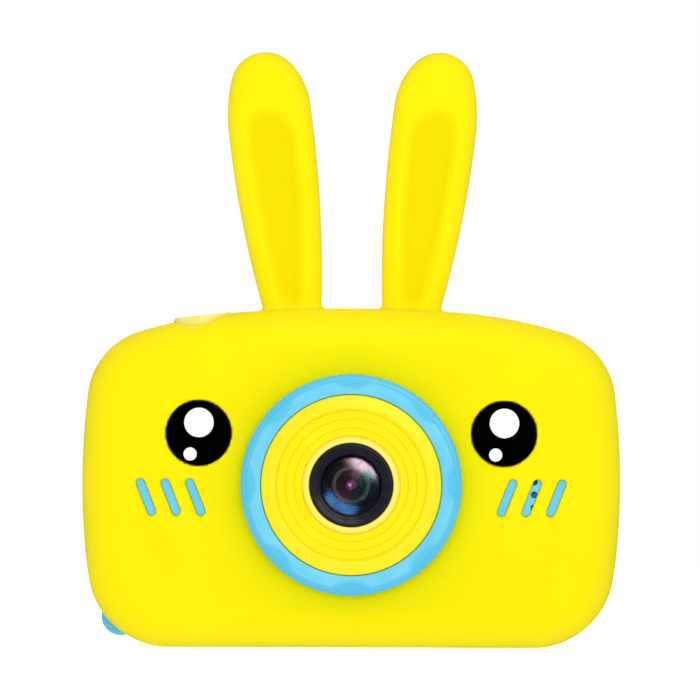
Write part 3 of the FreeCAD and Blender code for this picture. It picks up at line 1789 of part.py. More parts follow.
def build():
    fill_sheet()
    nodes = [silicone_sleeve()]
    eyes = {-1: eye(-1), 1: eye(1)}
    nodes += [*eyes.values(), eye_sparkles(eyes)]
    nodes += [front_shell(), rear_shell(), lanyard_eyelet()]
    nodes += [lens_bezel(), focus_ring(), lens_barrel()]
    nodes += [*lens_glass(), *lens_spacers(), *sensor_module()]
    nodes += [*leads(), *flexes(), *screen()]
    nodes += [main_board(), *board_parts(), usb_socket(), card_socket()]
    nodes += [*battery(), speaker(), housing_screws(), board_screws()]
    nodes += back_keys()
    switches, plungers = back_switches()
    nodes += [switches, *plungers, *shutter(), *port_cover()]
    doc.recompute()
    return nodes


def export(nodes):
    broken = [o.Name for o in doc.Objects if "Invalid" in o.State or "Error" in o.State]
    if broken:
        raise RuntimeError(f"these objects failed: {broken}")
    os.makedirs("parts", exist_ok=True)
    for old in os.listdir("parts"):
        os.remove(os.path.join("parts", old))
    for node in nodes:
        shape = node.Shape
        if shape.isNull() or not shape.isValid() or not shape.Solids:
            raise RuntimeError(f"{node.Label} has no valid solid")
        shape.exportStep(os.path.join("parts", node.Label + ".step"))
        print(f"{node.Label}: {len(shape.Solids)} solids, {shape.Volume:.1f} mm3")
    print(len(nodes), "nodes")


export(build())
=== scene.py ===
"""The looks of the rabbit-eared children's camera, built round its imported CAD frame.

Lengths in this file are millimetres until a mesh is made; MM turns them into metres. The
frame has +Z up, the lens looking along -Y and +X to the right of someone facing the lens.
"""

import json
import math

import bmesh
import bpy
import numpy as np
import openvdb
from mathutils import Matrix, Vector

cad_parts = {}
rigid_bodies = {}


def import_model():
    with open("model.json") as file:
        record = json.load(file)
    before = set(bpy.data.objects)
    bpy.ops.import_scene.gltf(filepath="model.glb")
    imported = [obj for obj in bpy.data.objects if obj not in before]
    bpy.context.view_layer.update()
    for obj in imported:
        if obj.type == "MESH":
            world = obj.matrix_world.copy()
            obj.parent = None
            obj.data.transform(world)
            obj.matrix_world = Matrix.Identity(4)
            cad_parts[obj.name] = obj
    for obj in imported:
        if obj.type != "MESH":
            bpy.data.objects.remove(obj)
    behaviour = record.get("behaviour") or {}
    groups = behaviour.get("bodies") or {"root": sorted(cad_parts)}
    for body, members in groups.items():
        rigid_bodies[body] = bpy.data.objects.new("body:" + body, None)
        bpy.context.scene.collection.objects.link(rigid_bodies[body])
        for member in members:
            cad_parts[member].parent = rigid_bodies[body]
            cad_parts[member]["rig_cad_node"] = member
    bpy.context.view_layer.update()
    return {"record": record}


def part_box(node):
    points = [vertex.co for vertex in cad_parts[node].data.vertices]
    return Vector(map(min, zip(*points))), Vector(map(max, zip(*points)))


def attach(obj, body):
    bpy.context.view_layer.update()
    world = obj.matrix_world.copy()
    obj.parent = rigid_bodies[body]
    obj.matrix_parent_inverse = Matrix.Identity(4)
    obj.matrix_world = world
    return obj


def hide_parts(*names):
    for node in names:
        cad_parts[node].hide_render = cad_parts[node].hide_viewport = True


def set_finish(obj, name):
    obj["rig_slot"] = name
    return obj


MM = 0.001
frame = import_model()


def span(node):
    """A CAD node's lowest and highest corner, in millimetres."""
    low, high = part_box(node)
    return np.array(low) / MM, np.array(high) / MM


def middle(node):
    low, high = span(node)
    return (low + high) / 2


def reach_along_y(node):
    """Where a CAD node's front and back lie."""
    low, high = span(node)
    return low[1], high[1]


# ---------- mesh helpers


def placed(name, data):
    """A new object in the scene."""
    made = bpy.data.objects.new(name, data)
    bpy.context.scene.collection.objects.link(made)
    return made


def make_object(name, points, faces, body, slot, replaced=(), smooth_angle=35.0):
    """A mesh object from points in millimetres that rides on a CAD body."""
    mesh = bpy.data.meshes.new(name)
    mesh.from_pydata((np.asarray(points, float) * MM).tolist(), [], faces)
    mesh.validate()
    mesh.shade_smooth()
    mesh.set_sharp_from_angle(angle=math.radians(smooth_angle))
    piece = placed(name, mesh)
    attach(piece, body)
    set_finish(piece, slot)
    if replaced:
        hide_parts(*replaced)
    return piece


def arc_points(before, corner, after, radius, steps):
    """The points of a fillet at a corner of a flat outline."""
    back = before - corner
    ahead = after - corner
    room = min(np.linalg.norm(back), np.linalg.norm(ahead)) * 0.49
    back /= np.linalg.norm(back)
    ahead /= np.linalg.norm(ahead)
    half = math.acos(np.clip(back @ ahead, -1, 1)) / 2
    if half > math.radians(88):
        return [corner]
    trim = min(radius / math.tan(half), room)
    radius = trim * math.tan(half)
    middle_way = back + ahead
    centre = corner + middle_way / np.linalg.norm(middle_way) * math.hypot(trim, radius)
    start = corner + back * trim - centre
    end = corner + ahead * trim - centre
    sweep = math.atan2(start[0] * end[1] - start[1] * end[0], start @ end)
    found = []
    for i in range(steps + 1):
        turn = sweep * i / steps
        c, s = math.cos(turn), math.sin(turn)
        found.append(centre + np.array([c * start[0] - s * start[1], s * start[0] + c * start[1]]))
    return found


def softened(outline, radius, steps=4):
    """A closed outline with each corner rounded. A corner may give its own radius."""
    corners = [np.array(c[:2], float) for c in outline]
    found = []
    for i, corner in enumerate(corners):
        before, after = corners[i - 1], corners[(i + 1) % len(corners)]
        own = outline[i][2] if len(outline[i]) > 2 else radius
        if own <= 0 or corner[0] < 1e-6:
            found.append(corner)
            continue
        found += arc_points(before, corner, after, own, steps)
    return np.array(found)


def resampled(outline, step):
    """A closed outline with points added so that no side is much longer than step."""
    found = []
    for i, point in enumerate(outline):
        after = outline[(i + 1) % len(outline)]
        count = max(1, int(math.ceil(np.linalg.norm(after - point) / step)))
        found += [point + (after - point) * k / count for k in range(count)]
    return np.array(found)


AXES = {
    "y": lambda r, a, t: (r * np.cos(t), a, r * np.sin(t)),
    "z": lambda r, a, t: (r * np.cos(t), r * np.sin(t), a),
}


def lathe(outline, centre, axis="y", segments=160, shape=None):
    """Points and faces of a closed outline of (radius, along) turned about an axis.
    shape may move the points: it gets radius, along and turn and returns radius, along."""
    outline = np.asarray(outline, float)
    count = len(outline)
    turns = np.arange(segments) * 2 * math.pi / segments
    radius, along = (np.repeat(outline[None, :, k], segments, 0) for k in (0, 1))
    turn = np.repeat(turns[:, None], count, 1)
    if shape:
        radius, along = shape(radius, along, turn)
    x, y, z = AXES[axis](radius, along, turn)
    points = np.stack([x, y, z], -1).reshape(-1, 3) + np.asarray(centre, float)
    on_axis = outline[:, 0] < 1e-9

    def spot(i, j):
        j %= count
        return j if on_axis[j] else (i % segments) * count + j

    faces = []
    for i in range(segments):
        for j in range(count):
            ring = [spot(i, j), spot(i, j + 1), spot(i + 1, j + 1), spot(i + 1, j)]
            ring = [v for k, v in enumerate(ring) if v != ring[k - 1]]
            if len(ring) > 2:
                faces.append(ring if axis == "z" else ring[::-1])
    used = sorted({v for face in faces for v in face})
    renumber = {old: new for new, old in enumerate(used)}
    return points[used], [[renumber[v] for v in face] for face in faces]


def outward(piece):
    """Turns every face of a closed piece outwards."""
    work = bmesh.new()
    work.from_mesh(piece.data)
    bmesh.ops.recalc_face_normals(work, faces=work.faces)
    work.to_mesh(piece.data)
    work.free()
    return piece


def turned_piece(
    name, outline, slot, replaced=(), segments=160, centre=None, body="camera", shape=None, **more
):
    """A closed outline turned about the lens axis, or about the line through centre along Y."""
    centre = (0, 0, LENS_Z) if centre is None else centre
    points, faces = lathe(outline, centre, segments=segments, shape=shape)
    return outward(make_object(name, points, faces, body, slot, replaced, **more))


# ---------- distance fields


def round_max(a, b, radius):
    """The overlap of two solids, with the edge where their faces cross rounded."""
    u = np.maximum(a + radius, 0)
    v = np.maximum(b + radius, 0)
    return np.minimum(np.maximum(a, b), -radius) + np.hypot(u, v)


def round_min(a, b, radius):
    """Two solids joined, with a fillet where they meet."""
    return -round_max(-a, -b, radius)


def carve(solid, tool, radius):
    return round_max(solid, -tool, radius)


def slab(flat, y, front, back, front_round, back_round):
    """A flat shape from y = front to y = back with rounded rims."""
    return np.maximum(
        round_max(flat, front - y, front_round), round_max(flat, y - back, back_round)
    )


def smooth_step(t):
    t = np.clip(t, 0, 1)
    return t * t * (3 - 2 * t)


def disc(u, v, centre, radius):
    return np.hypot(u - centre[0], v - centre[1]) - radius


def capsule(u, v, start, end, radius):
    """The distance to a slot with round ends."""
    start, end = np.array(start), np.array(end)
    way = end - start
    share = ((u - start[0]) * way[0] + (v - start[1]) * way[1]) / (way @ way)
    share = np.clip(share, 0, 1)
    return np.hypot(u - start[0] - share * way[0], v - start[1] - share * way[1]) - radius


def soft_box(u, v, low, high, radius):
    """The distance to a rectangle with round corners."""
    p = np.abs(u - (low[0] + high[0]) / 2) - (high[0] - low[0]) / 2 + radius
    q = np.abs(v - (low[1] + high[1]) / 2) - (high[1] - low[1]) / 2 + radius
    return np.hypot(np.maximum(p, 0), np.maximum(q, 0)) + np.minimum(np.maximum(p, q), 0) - radius


def turned(u, v, turn):
    """A place measured along axes that are turned by an angle."""
    c, s = math.cos(turn), math.sin(turn)
    return u * c + v * s, v * c - u * s


def circles_meet(first, first_radius, second, second_radius):
    """Where two circles meet, on the side that is further up and to the right."""
    way = second - first
    far = np.linalg.norm(way)
    along = (first_radius**2 - second_radius**2 + far**2) / (2 * far)
    up = math.sqrt(max(first_radius**2 - along**2, 0))
    ahead = way / far
    side = np.array([-ahead[1], ahead[0]])
    foot = first + ahead * along
    return max((foot + side * up, foot - side * up), key=sum)


# ---------- sizes

HALF_WIDTH = span("silicone_sleeve")[1][0]
SLEEVE_FRONT, SLEEVE_BACK = reach_along_y("silicone_sleeve")
BODY_HEIGHT = 60.5
WALL = 2.2
TOP_RADIUS, SHOULDER_RADIUS, CORNER_RADIUS, SIDE_RADIUS, BASE_RADIUS = 270.6, 87.4, 13.05, 128.0, 14.5
SHOULDER_START, SIDE_HEIGHT = 18.2, 29.5
LENS_Z = middle("focus_ring")[2]
EYE_LEFT, EYE_RIGHT = middle("left_eye"), middle("right_eye")
SHUTTER_SPOT = middle("shutter_plunger")[:2]
MOUNTS = {mount["name"]: np.array(mount["pos_m"]) / MM for mount in frame["record"]["mounts"]}
EYELET_SPOT = MOUNTS["lanyard_hole"][[0, 2]]


def body_arcs():
    """The outline's arcs from the top down: centre and radius, on the right-hand side."""
    top = np.array([0, BODY_HEIGHT - TOP_RADIUS])
    lean = math.asin(SHOULDER_START / TOP_RADIUS)
    shoulder = top + (TOP_RADIUS - SHOULDER_RADIUS) * np.array([math.sin(lean), math.cos(lean)])
    side = np.array([HALF_WIDTH - SIDE_RADIUS, SIDE_HEIGHT])
    apart = (SHOULDER_RADIUS - CORNER_RADIUS, SIDE_RADIUS - CORNER_RADIUS)
    corner = circles_meet(shoulder, apart[0], side, apart[1])
    reach = math.sqrt((SIDE_RADIUS - BASE_RADIUS) ** 2 - (BASE_RADIUS - SIDE_HEIGHT) ** 2)
    base = np.array([side[0] + reach, BASE_RADIUS])
    return [
        (top, TOP_RADIUS), (shoulder, SHOULDER_RADIUS), (corner, CORNER_RADIUS),
        (side, SIDE_RADIUS), (base, BASE_RADIUS),
    ]


BODY_ARCS = body_arcs()


def body_outline(x, z):
    """The signed distance to the camera's front outline."""
    x = np.abs(x)
    base = BODY_ARCS[-1][0]
    distance = disc(x, z, *BODY_ARCS[0])
    for (above, above_radius), (below, below_radius) in zip(BODY_ARCS, BODY_ARCS[1:]):
        outer, inner = (above, below) if above_radius > below_radius else (below, above)
        way = inner - outer
        side = way[0] * (z - outer[1]) - way[1] * (x - outer[0])
        past = disc(x, z, below, below_radius)
        if below is base:
            past = np.where(x < base[0], -z, past)
        distance = np.where(side < 0, past, distance)
    return distance


EAR_TIP, EAR_TIP_RADIUS = np.array([15.57, 100.2]), 6.2
EAR_ROOT = np.array([10.8, 57.0])
EAR_OUTER = ((0.22, 29.3), (-0.112, 192.0))
EAR_INNER = ((0.771, 12.97), (0.143, 219.0))
EAR_FRONT, EAR_BACK, EAR_ROUND = -1.6, 7.4, 3.7
EAR_DISH_DEPTH, EAR_DISH_RAMP = 1.0, 2.9


def ear_side(x, z, way, arcs):
    """The signed distance to one side of an ear: its tip's disc, then wider and wider arcs.
    Each arc starts where the one before it reaches an angle above the level."""
    centre, radius = EAR_TIP, EAR_TIP_RADIUS
    distance = disc(x, z, centre, radius)
    below = True
    for angle, wider in arcs:
        out = np.array([way * math.cos(angle), math.sin(angle)])
        below = below & (way * ((x - centre[0]) * out[1] - (z - centre[1]) * out[0]) > 0)
        centre, radius = centre - (wider - radius) * out, wider
        distance = np.where(below, disc(x, z, centre, radius), distance)
    return distance


def ear_outline(x, z):
    """The signed distance to the ears' outline, good near the outline."""
    x = np.abs(x)
    down = EAR_ROOT - EAR_TIP
    outside = (x - EAR_TIP[0]) * down[1] - (z - EAR_TIP[1]) * down[0] < 0
    outer = ear_side(x, z, 1, EAR_OUTER)
    return np.maximum(np.where(outside, outer, ear_side(x, z, -1, EAR_INNER)), -7.2)


def ear_dish(x, z):
    """How far the ears' hollow fronts go in at a place, from 0 to 1."""
    arch = round_max(ear_outline(x, z) + 2.2, 0.6 * (z - 98.0), 4.6)
    return smooth_step(-arch / EAR_DISH_RAMP) * smooth_step((z - 58.5) / 5.0)


def ears(x, y, z):
    dish = EAR_DISH_DEPTH * ear_dish(x, z)
    return slab(ear_outline(x, z), y - dish * (y < 3), EAR_FRONT, EAR_BACK, EAR_ROUND, EAR_ROUND)


SCOOP_SPOT, SCOOP_BALL = (-28.3, -8.7, 64.5), 7.0


def finger_scoop(x, y, z):
    """The distance to the ball that scoops the sleeve in front of the shutter button."""
    return np.sqrt(sum((p - c) ** 2 for p, c in zip((x, y, z), SCOOP_SPOT))) - SCOOP_BALL


FRONT_ROUND, BACK_ROUND, EAR_FILLET = 7.0, 2.6, 0.9
INNER_BACK, INNER_FRONT_ROUND, INNER_BACK_ROUND = 17.9, 4.8, 1.4
BACK_LIP, BACK_OPENING = 4.5, 17.0
RING_HOLE, EYE_RECESS, EYE_RECESS_DEPTH = 18.0, 5.82, 0.8
BUTTON_HOLE, BUTTON_FLOOR = 5.6, 53.0
PORT_LOW, PORT_HIGH, PORT_INSIDE = (3.0, 15.2), (11.0, 43.6), 40.0
NOTCH_RADIUS, NOTCH_FRONT = 5.1, 4.8
SLOT_Z, SLOT_HALF_WIDTH, SLOT_HALF_RUN = 26.8, 0.77, 2.74
SLOT_LEAN = math.radians(21.5)
SLOT_SPOTS = [27.75 + 4.4 * i for i in range(3)]


def sleeve(x, y, z):
    """The signed distance to the silicone sleeve."""
    outline = body_outline(x, z)
    solid = slab(outline, y, SLEEVE_FRONT, SLEEVE_BACK, FRONT_ROUND, BACK_ROUND)
    solid = round_min(solid, ears(x, y, z), EAR_FILLET)
    inner_front = SLEEVE_FRONT + WALL
    hollow = slab(outline + WALL, y, inner_front, INNER_BACK, INNER_FRONT_ROUND, INNER_BACK_ROUND)
    solid = np.maximum(solid, -hollow)
    solid = carve(solid, np.maximum(outline + BACK_LIP, BACK_OPENING - y), 0.4)
    through = y - inner_front - 2
    solid = carve(solid, np.maximum(disc(x, z, (0, LENS_Z), RING_HOLE), through), 0.5)
    for eye in (EYE_LEFT, EYE_RIGHT):
        recess = disc(x, z, (eye[0], eye[2]), EYE_RECESS)
        solid = carve(solid, np.maximum(recess, y - SLEEVE_FRONT - EYE_RECESS_DEPTH), 0.2)
    lean = SLOT_HALF_RUN * np.array([math.sin(SLOT_LEAN), math.cos(SLOT_LEAN)])
    for spot in SLOT_SPOTS:
        centre = np.array([spot, SLOT_Z])
        slot = capsule(np.abs(x), z, centre - lean, centre + lean, SLOT_HALF_WIDTH)
        solid = carve(solid, np.maximum(slot, through), 0.28)
    button = np.maximum(disc(x, y, SHUTTER_SPOT, BUTTON_HOLE), BUTTON_FLOOR - z)
    solid = carve(solid, button, 0.5)
    solid = carve(solid, finger_scoop(x, y, z), 0.6)
    port = np.maximum(soft_box(y, z, PORT_LOW, PORT_HIGH, 0.9), PORT_INSIDE - x)
    solid = carve(solid, port, 0.25)
    notch = np.maximum(disc(x, z, EYELET_SPOT, NOTCH_RADIUS), NOTCH_FRONT - y)
    return carve(solid, notch, 1.4)


def meshed(field, low, high, voxel):
    """The zero surface of a distance field as points and quads, each point on the surface."""
    axes = [np.arange(a, b + voxel, voxel) for a, b in zip(low, high)]
    x, y, z = axes[0][:, None, None], axes[1][None, :, None], axes[2][None, None, :]
    values = np.broadcast_to(field(x, y, z), [len(a) for a in axes])
    band = 3 * voxel
    grid = openvdb.FloatGrid(background=band)
    grid.copyFromArray(np.ascontiguousarray(np.clip(values, -band, band).astype(np.float32)))
    grid.gridClass = openvdb.GridClass.LEVEL_SET
    points, triangles, quads = grid.convertToPolygons(isovalue=0.0, adaptivity=0.0)
    points = points.astype(float) * voxel + np.array([a[0] for a in axes])
    for _ in range(3):
        points = settled(field, points, voxel)
    return points, [f.tolist() for f in quads] + [f.tolist() for f in triangles]


def settled(field, points, voxel):
    """The points moved onto the field's surface, along its slope."""
    value = field(*points.T)
    slope = slope_of(field, points)
    size = np.maximum((slope**2).sum(1), 0.2)
    move = -(value / size)[:, None] * slope
    reach = np.maximum(np.linalg.norm(move, axis=1) / (0.6 * voxel), 1)
    return points + move / reach[:, None]


def slope_of(field, points, nudge=0.02):
    """Which way a field grows at each point."""
    ways = nudge * np.eye(3)
    slopes = [field(*(points + way).T) - field(*(points - way).T) for way in ways]
    return np.stack(slopes, -1) / (2 * nudge)


def places(piece):
    """A piece's points, in millimetres."""
    points = np.empty(len(piece.data.vertices) * 3)
    piece.data.vertices.foreach_get("co", points)
    return points.reshape(-1, 3) / MM


def lit_by(piece, field):
    """Gives a meshed piece the smooth normals of the field it came from."""
    slope = slope_of(field, places(piece), 0.05)
    slope /= np.maximum(np.linalg.norm(slope, axis=1, keepdims=True), 1e-6)
    piece.data.set_sharp_from_angle(angle=math.pi)
    piece.data.normals_split_custom_set_from_vertices(slope.tolist())


def paint(piece, share):
    """Stores how much of a material's second tone each vertex shows. share gets x, y, z in mm."""
    points = places(piece)
    values = np.broadcast_to(share(*points.T), [len(points)])
    layer = piece.data.attributes.new("tone", "FLOAT", "POINT")
    layer.data.foreach_set("value", np.ascontiguousarray(values, dtype=np.float32))


def build_field(name, field, node, body, slot, voxel=0.2):
    """A piece meshed from a distance field inside its CAD node's box."""
    low, high = span(node)
    points, faces = meshed(field, low - 2 * voxel, high + 2 * voxel, voxel)
    piece = outward(make_object(name, points, faces, body, slot, [node], 60))
    lit_by(piece, field)
    return piece


def build_sleeve():
    """The sleeve with its ears. Its tone paints shade into the ears' hollow fronts and a highlight
    into the finger scoop.
    """
    voxel = 0.42
    look = ("camera", "yellow_silicone", voxel)
    piece = build_field("silicone_sleeve_skin", sleeve, "silicone_sleeve", *look)

    def tone(x, y, z):
        # Painted highlight: the finger scoop gets the paler yellow (tone below 0).
        scoop_highlight = smooth_step((0.5 - finger_scoop(x, y, z)) / 0.4)
        # Painted shade: the ears' hollow fronts get the darker yellow (tone above 0).
        return ear_dish(x, z) * (y < 3) - scoop_highlight

    paint(piece, tone)


# ---------- the lens

TEETH, SCOOPS = 90, 8
TOOTH_DEPTH = 0.2
STEP_RISE = 0.6
SCOOP_CENTRE, SCOOP_RADIUS, SCOOP_DEPTH = 22.6, 6.1, 0.3


def scooped(radius, turn):
    """How far a place on the ring's front lies inside one of the finger scoops, from 0 to 1."""
    reach = (turn + math.pi / SCOOPS) % (2 * math.pi / SCOOPS) - math.pi / SCOOPS
    far = radius**2 + SCOOP_CENTRE**2 - 2 * radius * SCOOP_CENTRE * np.cos(reach)
    return smooth_step((SCOOP_RADIUS - np.sqrt(np.maximum(far, 0))) / 1.2)


def build_ring():
    """The knurled ring. The knurl and the finger scoops are in the mesh, and its tone paints shade
    into the scoops and onto the outer rim.
    """
    front, back = reach_along_y("focus_ring")
    outline = [
        (15.0, back - 3.2), (17.65, back - 3.2, 0.1), (17.65, back), (19.3, back, 0.3),
        (19.75, back - 0.7, 0.3), (19.77, front + 1.3, 0.3), (19.3, front + 0.75, 0.25),
        (18.75, front + 0.55, 0.3), (18.35, front + 0.05, 0.3), (17.2, front, 0.8),
        (16.17, front + 0.3, 0.25), (16.17, back - 4.7, 0.1), (15.0, back - 4.7, 0.1),
    ]
    outline = resampled(softened(outline, 0.15), 0.25)

    def shape(radius, along, turn):
        tooth = 0.5 + 0.5 * np.cos(TEETH * turn)
        depth = TOOTH_DEPTH * (1 - tooth**0.7) * smooth_step((radius - 19.25) / 0.4)
        scoop = front + SCOOP_DEPTH * scooped(radius, turn)
        facing = (along < back - 2.0) & (radius > 16.4)
        return radius - depth, np.where(facing, np.maximum(along, scoop), along)

    about = {"segments": TEETH * 8, "body": "focus_ring", "shape": shape, "smooth_angle": 50}
    piece = turned_piece("focus_ring_skin", outline, "blue_plastic", ["focus_ring"], **about)

    def tone(x, y, z):
        radius, turn = np.hypot(x, z - LENS_Z), np.arctan2(z - LENS_Z, x)
        # Painted shade: deeper blue in the finger scoops, over the outer band and along a thin line
        # at the knurl.
        scoop_and_rim_shade = np.maximum(scooped(radius, turn), 0.7 * smooth_step((radius - 18.3) / 0.5))
        return scoop_and_rim_shade + smooth_step((0.25 - abs(radius - 19.2)) / 0.2) * 0.5

    paint(piece, tone)


def build_bezel():
    """The yellow stepped funnel between ring and lens."""
    front = reach_along_y("lens_bezel")[0]
    outline = [
        (7.5, front + 1.7, 0.2), (7.5, front + 10.0), (9.3, front + 10.0), (9.3, front + 4.0),
        (13.2, front + 4.0), (13.2, front + 9.0), (14.8, front + 9.0), (14.8, front + 1.85),
        (16.08, front + 1.85, 0.15), (16.08, front + 0.95, 0.35), (13.75, front, 0.6),
    ]
    for radius, depth in ((13.35, 1.15), (11.8, 1.75), (10.25, 2.35), (8.8, 2.75)):
        outline += [
            (radius, front + depth - STEP_RISE, 0.22), (radius - 0.12, front + depth, 0.12),
        ]
    outline += [
        (8.6, front + 1.85, 0.4), (8.1, front + 1.3, 0.45), (7.6, front + 1.35, 0.3),
    ]
    outline = resampled(softened(outline, 0.15, 5), 0.8)
    piece = turned_piece("lens_bezel_skin", outline, "yellow_plastic", ["lens_bezel"], 256)

    def tone(x, y, z):
        radius = np.hypot(x, z - LENS_Z)
        # Painted highlight: the bead round the lens, and a faint one on the outer band.
        return smooth_step((8.85 - radius) / 0.2) + 0.12 * smooth_step((radius - 13.5) / 0.3)

    paint(piece, tone)


def build_barrel():
    """The black barrel with a dished front, a seat for the glass and fine light-trap steps."""
    front, back = reach_along_y("lens_barrel")
    outline = [
        (5.4, front + 1.2, 0.1), (5.4, front + 2.45), (3.5, front + 3.4, 0.1),
    ]
    for step in range(5):
        depth = front + 3.5 + 1.1 * step
        outline += [(3.5, depth), (3.62, depth + 0.25), (3.62, depth + 0.75), (3.5, depth + 1.0)]
    outline += [
        (3.5, back - 1.4), (2.4, back - 1.4), (2.4, back), (6.0, back), (6.0, back - 2.2),
        (7.4, back - 2.2), (7.4, front + 0.3, 0.15), (7.05, front + 0.02, 0.2),
        (6.75, front + 0.2, 0.1), (6.2, front + 0.45, 0.1), (6.1, front + 0.62, 0.08),
        (5.75, front + 0.78, 0.1),
    ]
    outline = resampled(softened(outline, 0.08, 3), 1.5)
    turned_piece("lens_barrel_skin", outline, "black_plastic", ["lens_barrel"], 192)


def dome_outline(front, rim, radius, back, lifted=0.0, steps=24):
    """A lens: a domed front from the axis to its rim, then a back that is flat in the middle and
    may rise towards the rim."""
    sag = rim - front
    ball = (radius**2 + sag**2) / (2 * sag)
    turn = math.asin(radius / ball)
    found = [(0.0, back)]
    for i in range(steps + 1):
        t = turn * i / steps
        found.append((ball * math.sin(t), front + ball * (1 - math.cos(t))))
    if lifted:
        return found + [(radius, back - lifted), (COATING_INNER, back - 0.02)]
    return found + [(radius, back - 0.05), (radius - 0.05, back)]


def build_glass():
    """The domed front glass, the inner and rear elements and the coated surface between them."""
    front, glass_back = reach_along_y("front_lens")
    outline = dome_outline(front, front + 1.55, 5.33, glass_back, lifted=0.83)
    dome = turned_piece("front_lens_glass", outline, "coated_glass", ["front_lens"], 192)
    paint(dome, coating_tint)
    for node, radius, sag in (("inner_lens", 2.55, 0.82), ("rear_lens", 2.29, 0.46)):
        front, back = reach_along_y(node)
        outline = dome_outline(front, front + sag, radius, back)
        turned_piece(node + "_glass", outline, "coated_glass", [node], 96)
    paint(bpy.data.objects["rear_lens_glass"], glint_share)
    turned_piece("front_lens_coating", coating_outline(glass_back), "filter_glass", segments=192)


def coating_tint(x, y, z):
    """Which colour the front glass's coating reflects: 1 is mint, 0 pink and -1 brown."""
    radius, turn = np.hypot(x, z - LENS_Z), np.arctan2(z - LENS_Z, x)
    ahead = (turn - math.radians(55) + math.pi) % (2 * math.pi) - math.pi
    mint = smooth_step((4.6 - radius) / 0.9) * smooth_step(-ahead / 0.35)
    brown = smooth_step((ahead - 0.15) / 0.8)
    return (mint - brown) * smooth_step((math.pi - abs(ahead)) / 1.0)


def glint_share(x, y, z):
    """The small bright glint in the pupil, a little left of the axis."""
    return smooth_step((0.42 - np.hypot(x + 0.22, z - LENS_Z)) / 0.25)


COATING_INNER = 3.46


def coating_outline(rim, outer=5.28, ball=10.0, thick=0.05, steps=12):
    """A thin ring that follows a ball, open in the middle, just inside the front glass's back."""
    deepest = rim - 0.1 - math.sqrt(ball**2 - COATING_INNER**2)
    radii = [COATING_INNER + (outer - COATING_INNER) * i / steps for i in range(steps + 1)]
    front = [(r, deepest + math.sqrt(ball**2 - r**2)) for r in radii]
    return front + [(r, a + thick) for r, a in reversed(front)]


def build_baffle():
    """The bright-edged retaining ring that shows round the inner lens, and the disc behind it."""
    front, back = reach_along_y("lens_baffle")
    outline = [
        (2.62, front + 1.3, 0.05), (2.62, back), (3.44, back), (3.44, front + 0.15, 0.1),
        (3.25, front, 0.06), (3.05, front + 0.12, 0.06), (2.95, front + 0.35, 0.05),
        (2.8, front + 0.42, 0.05), (2.72, front + 0.8, 0.05),
    ]
    outline = softened(outline, 0.05, 3)
    turned_piece("lens_baffle_ring", outline, "grey_plastic", ["lens_baffle"], 144)
    front, back = reach_along_y("aperture_disc")
    outline = [(0.9, front, 0.03), (1.2, back), (3.44, back), (3.44, front), (2.0, front)]
    outline = softened(outline, 0.03, 3)
    turned_piece("aperture_blade", outline, "black_plastic", ["aperture_disc"], 96)


# ---------- the face

EYE_BALL, EYE_RIM = 48.0, 0.3
SPARKLE_FILM = 0.06
SPARKLES = ((0.05, 1.88, 2.63), (-1.5, -3.75, 1.18))  # each one's place on the eye, and radius


def build_eyes():
    """The glossy black eyes, and the white spots printed on their domes."""
    for name, centre in (("left_eye", EYE_LEFT), ("right_eye", EYE_RIGHT)):
        low, high = span(name)
        edge = (high[0] - low[0]) / 2 - EYE_RIM
        steps, rim_steps = 20, 6
        radii = [edge * i / steps for i in range(steps + 1)]
        outline = [(0.0, high[1])] + [(r, low[1] + eye_dome(r)) for r in radii]
        rim_front = outline[-1][1]
        for i in range(1, rim_steps + 1):
            t = math.pi / 2 * i / rim_steps
            outline.append((edge + EYE_RIM * math.sin(t), rim_front + EYE_RIM * (1 - math.cos(t))))
        outline.append((edge + EYE_RIM, high[1]))
        spot = (centre[0], 0, centre[2])
        turned_piece(name + "_dome", outline, "black_print", [name], 144, spot)
    build_sparkles()


def eye_dome(away):
    """How far an eye's dome has fallen back at a distance from its middle."""
    return EYE_BALL - np.sqrt(EYE_BALL**2 - away**2)


def build_sparkles():
    """The two white spots on each eye: thin films that follow the dome."""
    points, faces = [], []
    front = reach_along_y("left_eye")[0]
    for centre in (EYE_LEFT, EYE_RIGHT):
        for dx, dz, radius in SPARKLES:
            outline = [(0.0, 0.0), (0.0, -SPARKLE_FILM)]
            outline += [(radius * k / 8, -SPARKLE_FILM) for k in range(1, 8)]
            outline += [
                (radius - SPARKLE_FILM / 2, -SPARKLE_FILM), (radius, -SPARKLE_FILM / 2),
                (radius, 0.0),
            ]
            found, sides = lathe(outline, (centre[0] + dx, 0, centre[2] + dz), segments=96)
            away = np.hypot(found[:, 0] - centre[0], found[:, 2] - centre[2])
            found[:, 1] += front + eye_dome(away)
            faces += [[v + len(points) for v in face] for face in sides]
            points += found.tolist()
    look = ("camera", "white_print", ["eye_sparkles"], 40)
    outward(make_object("eye_sparkle_prints", points, faces, *look))


# ---------- buttons, eyelet and cover


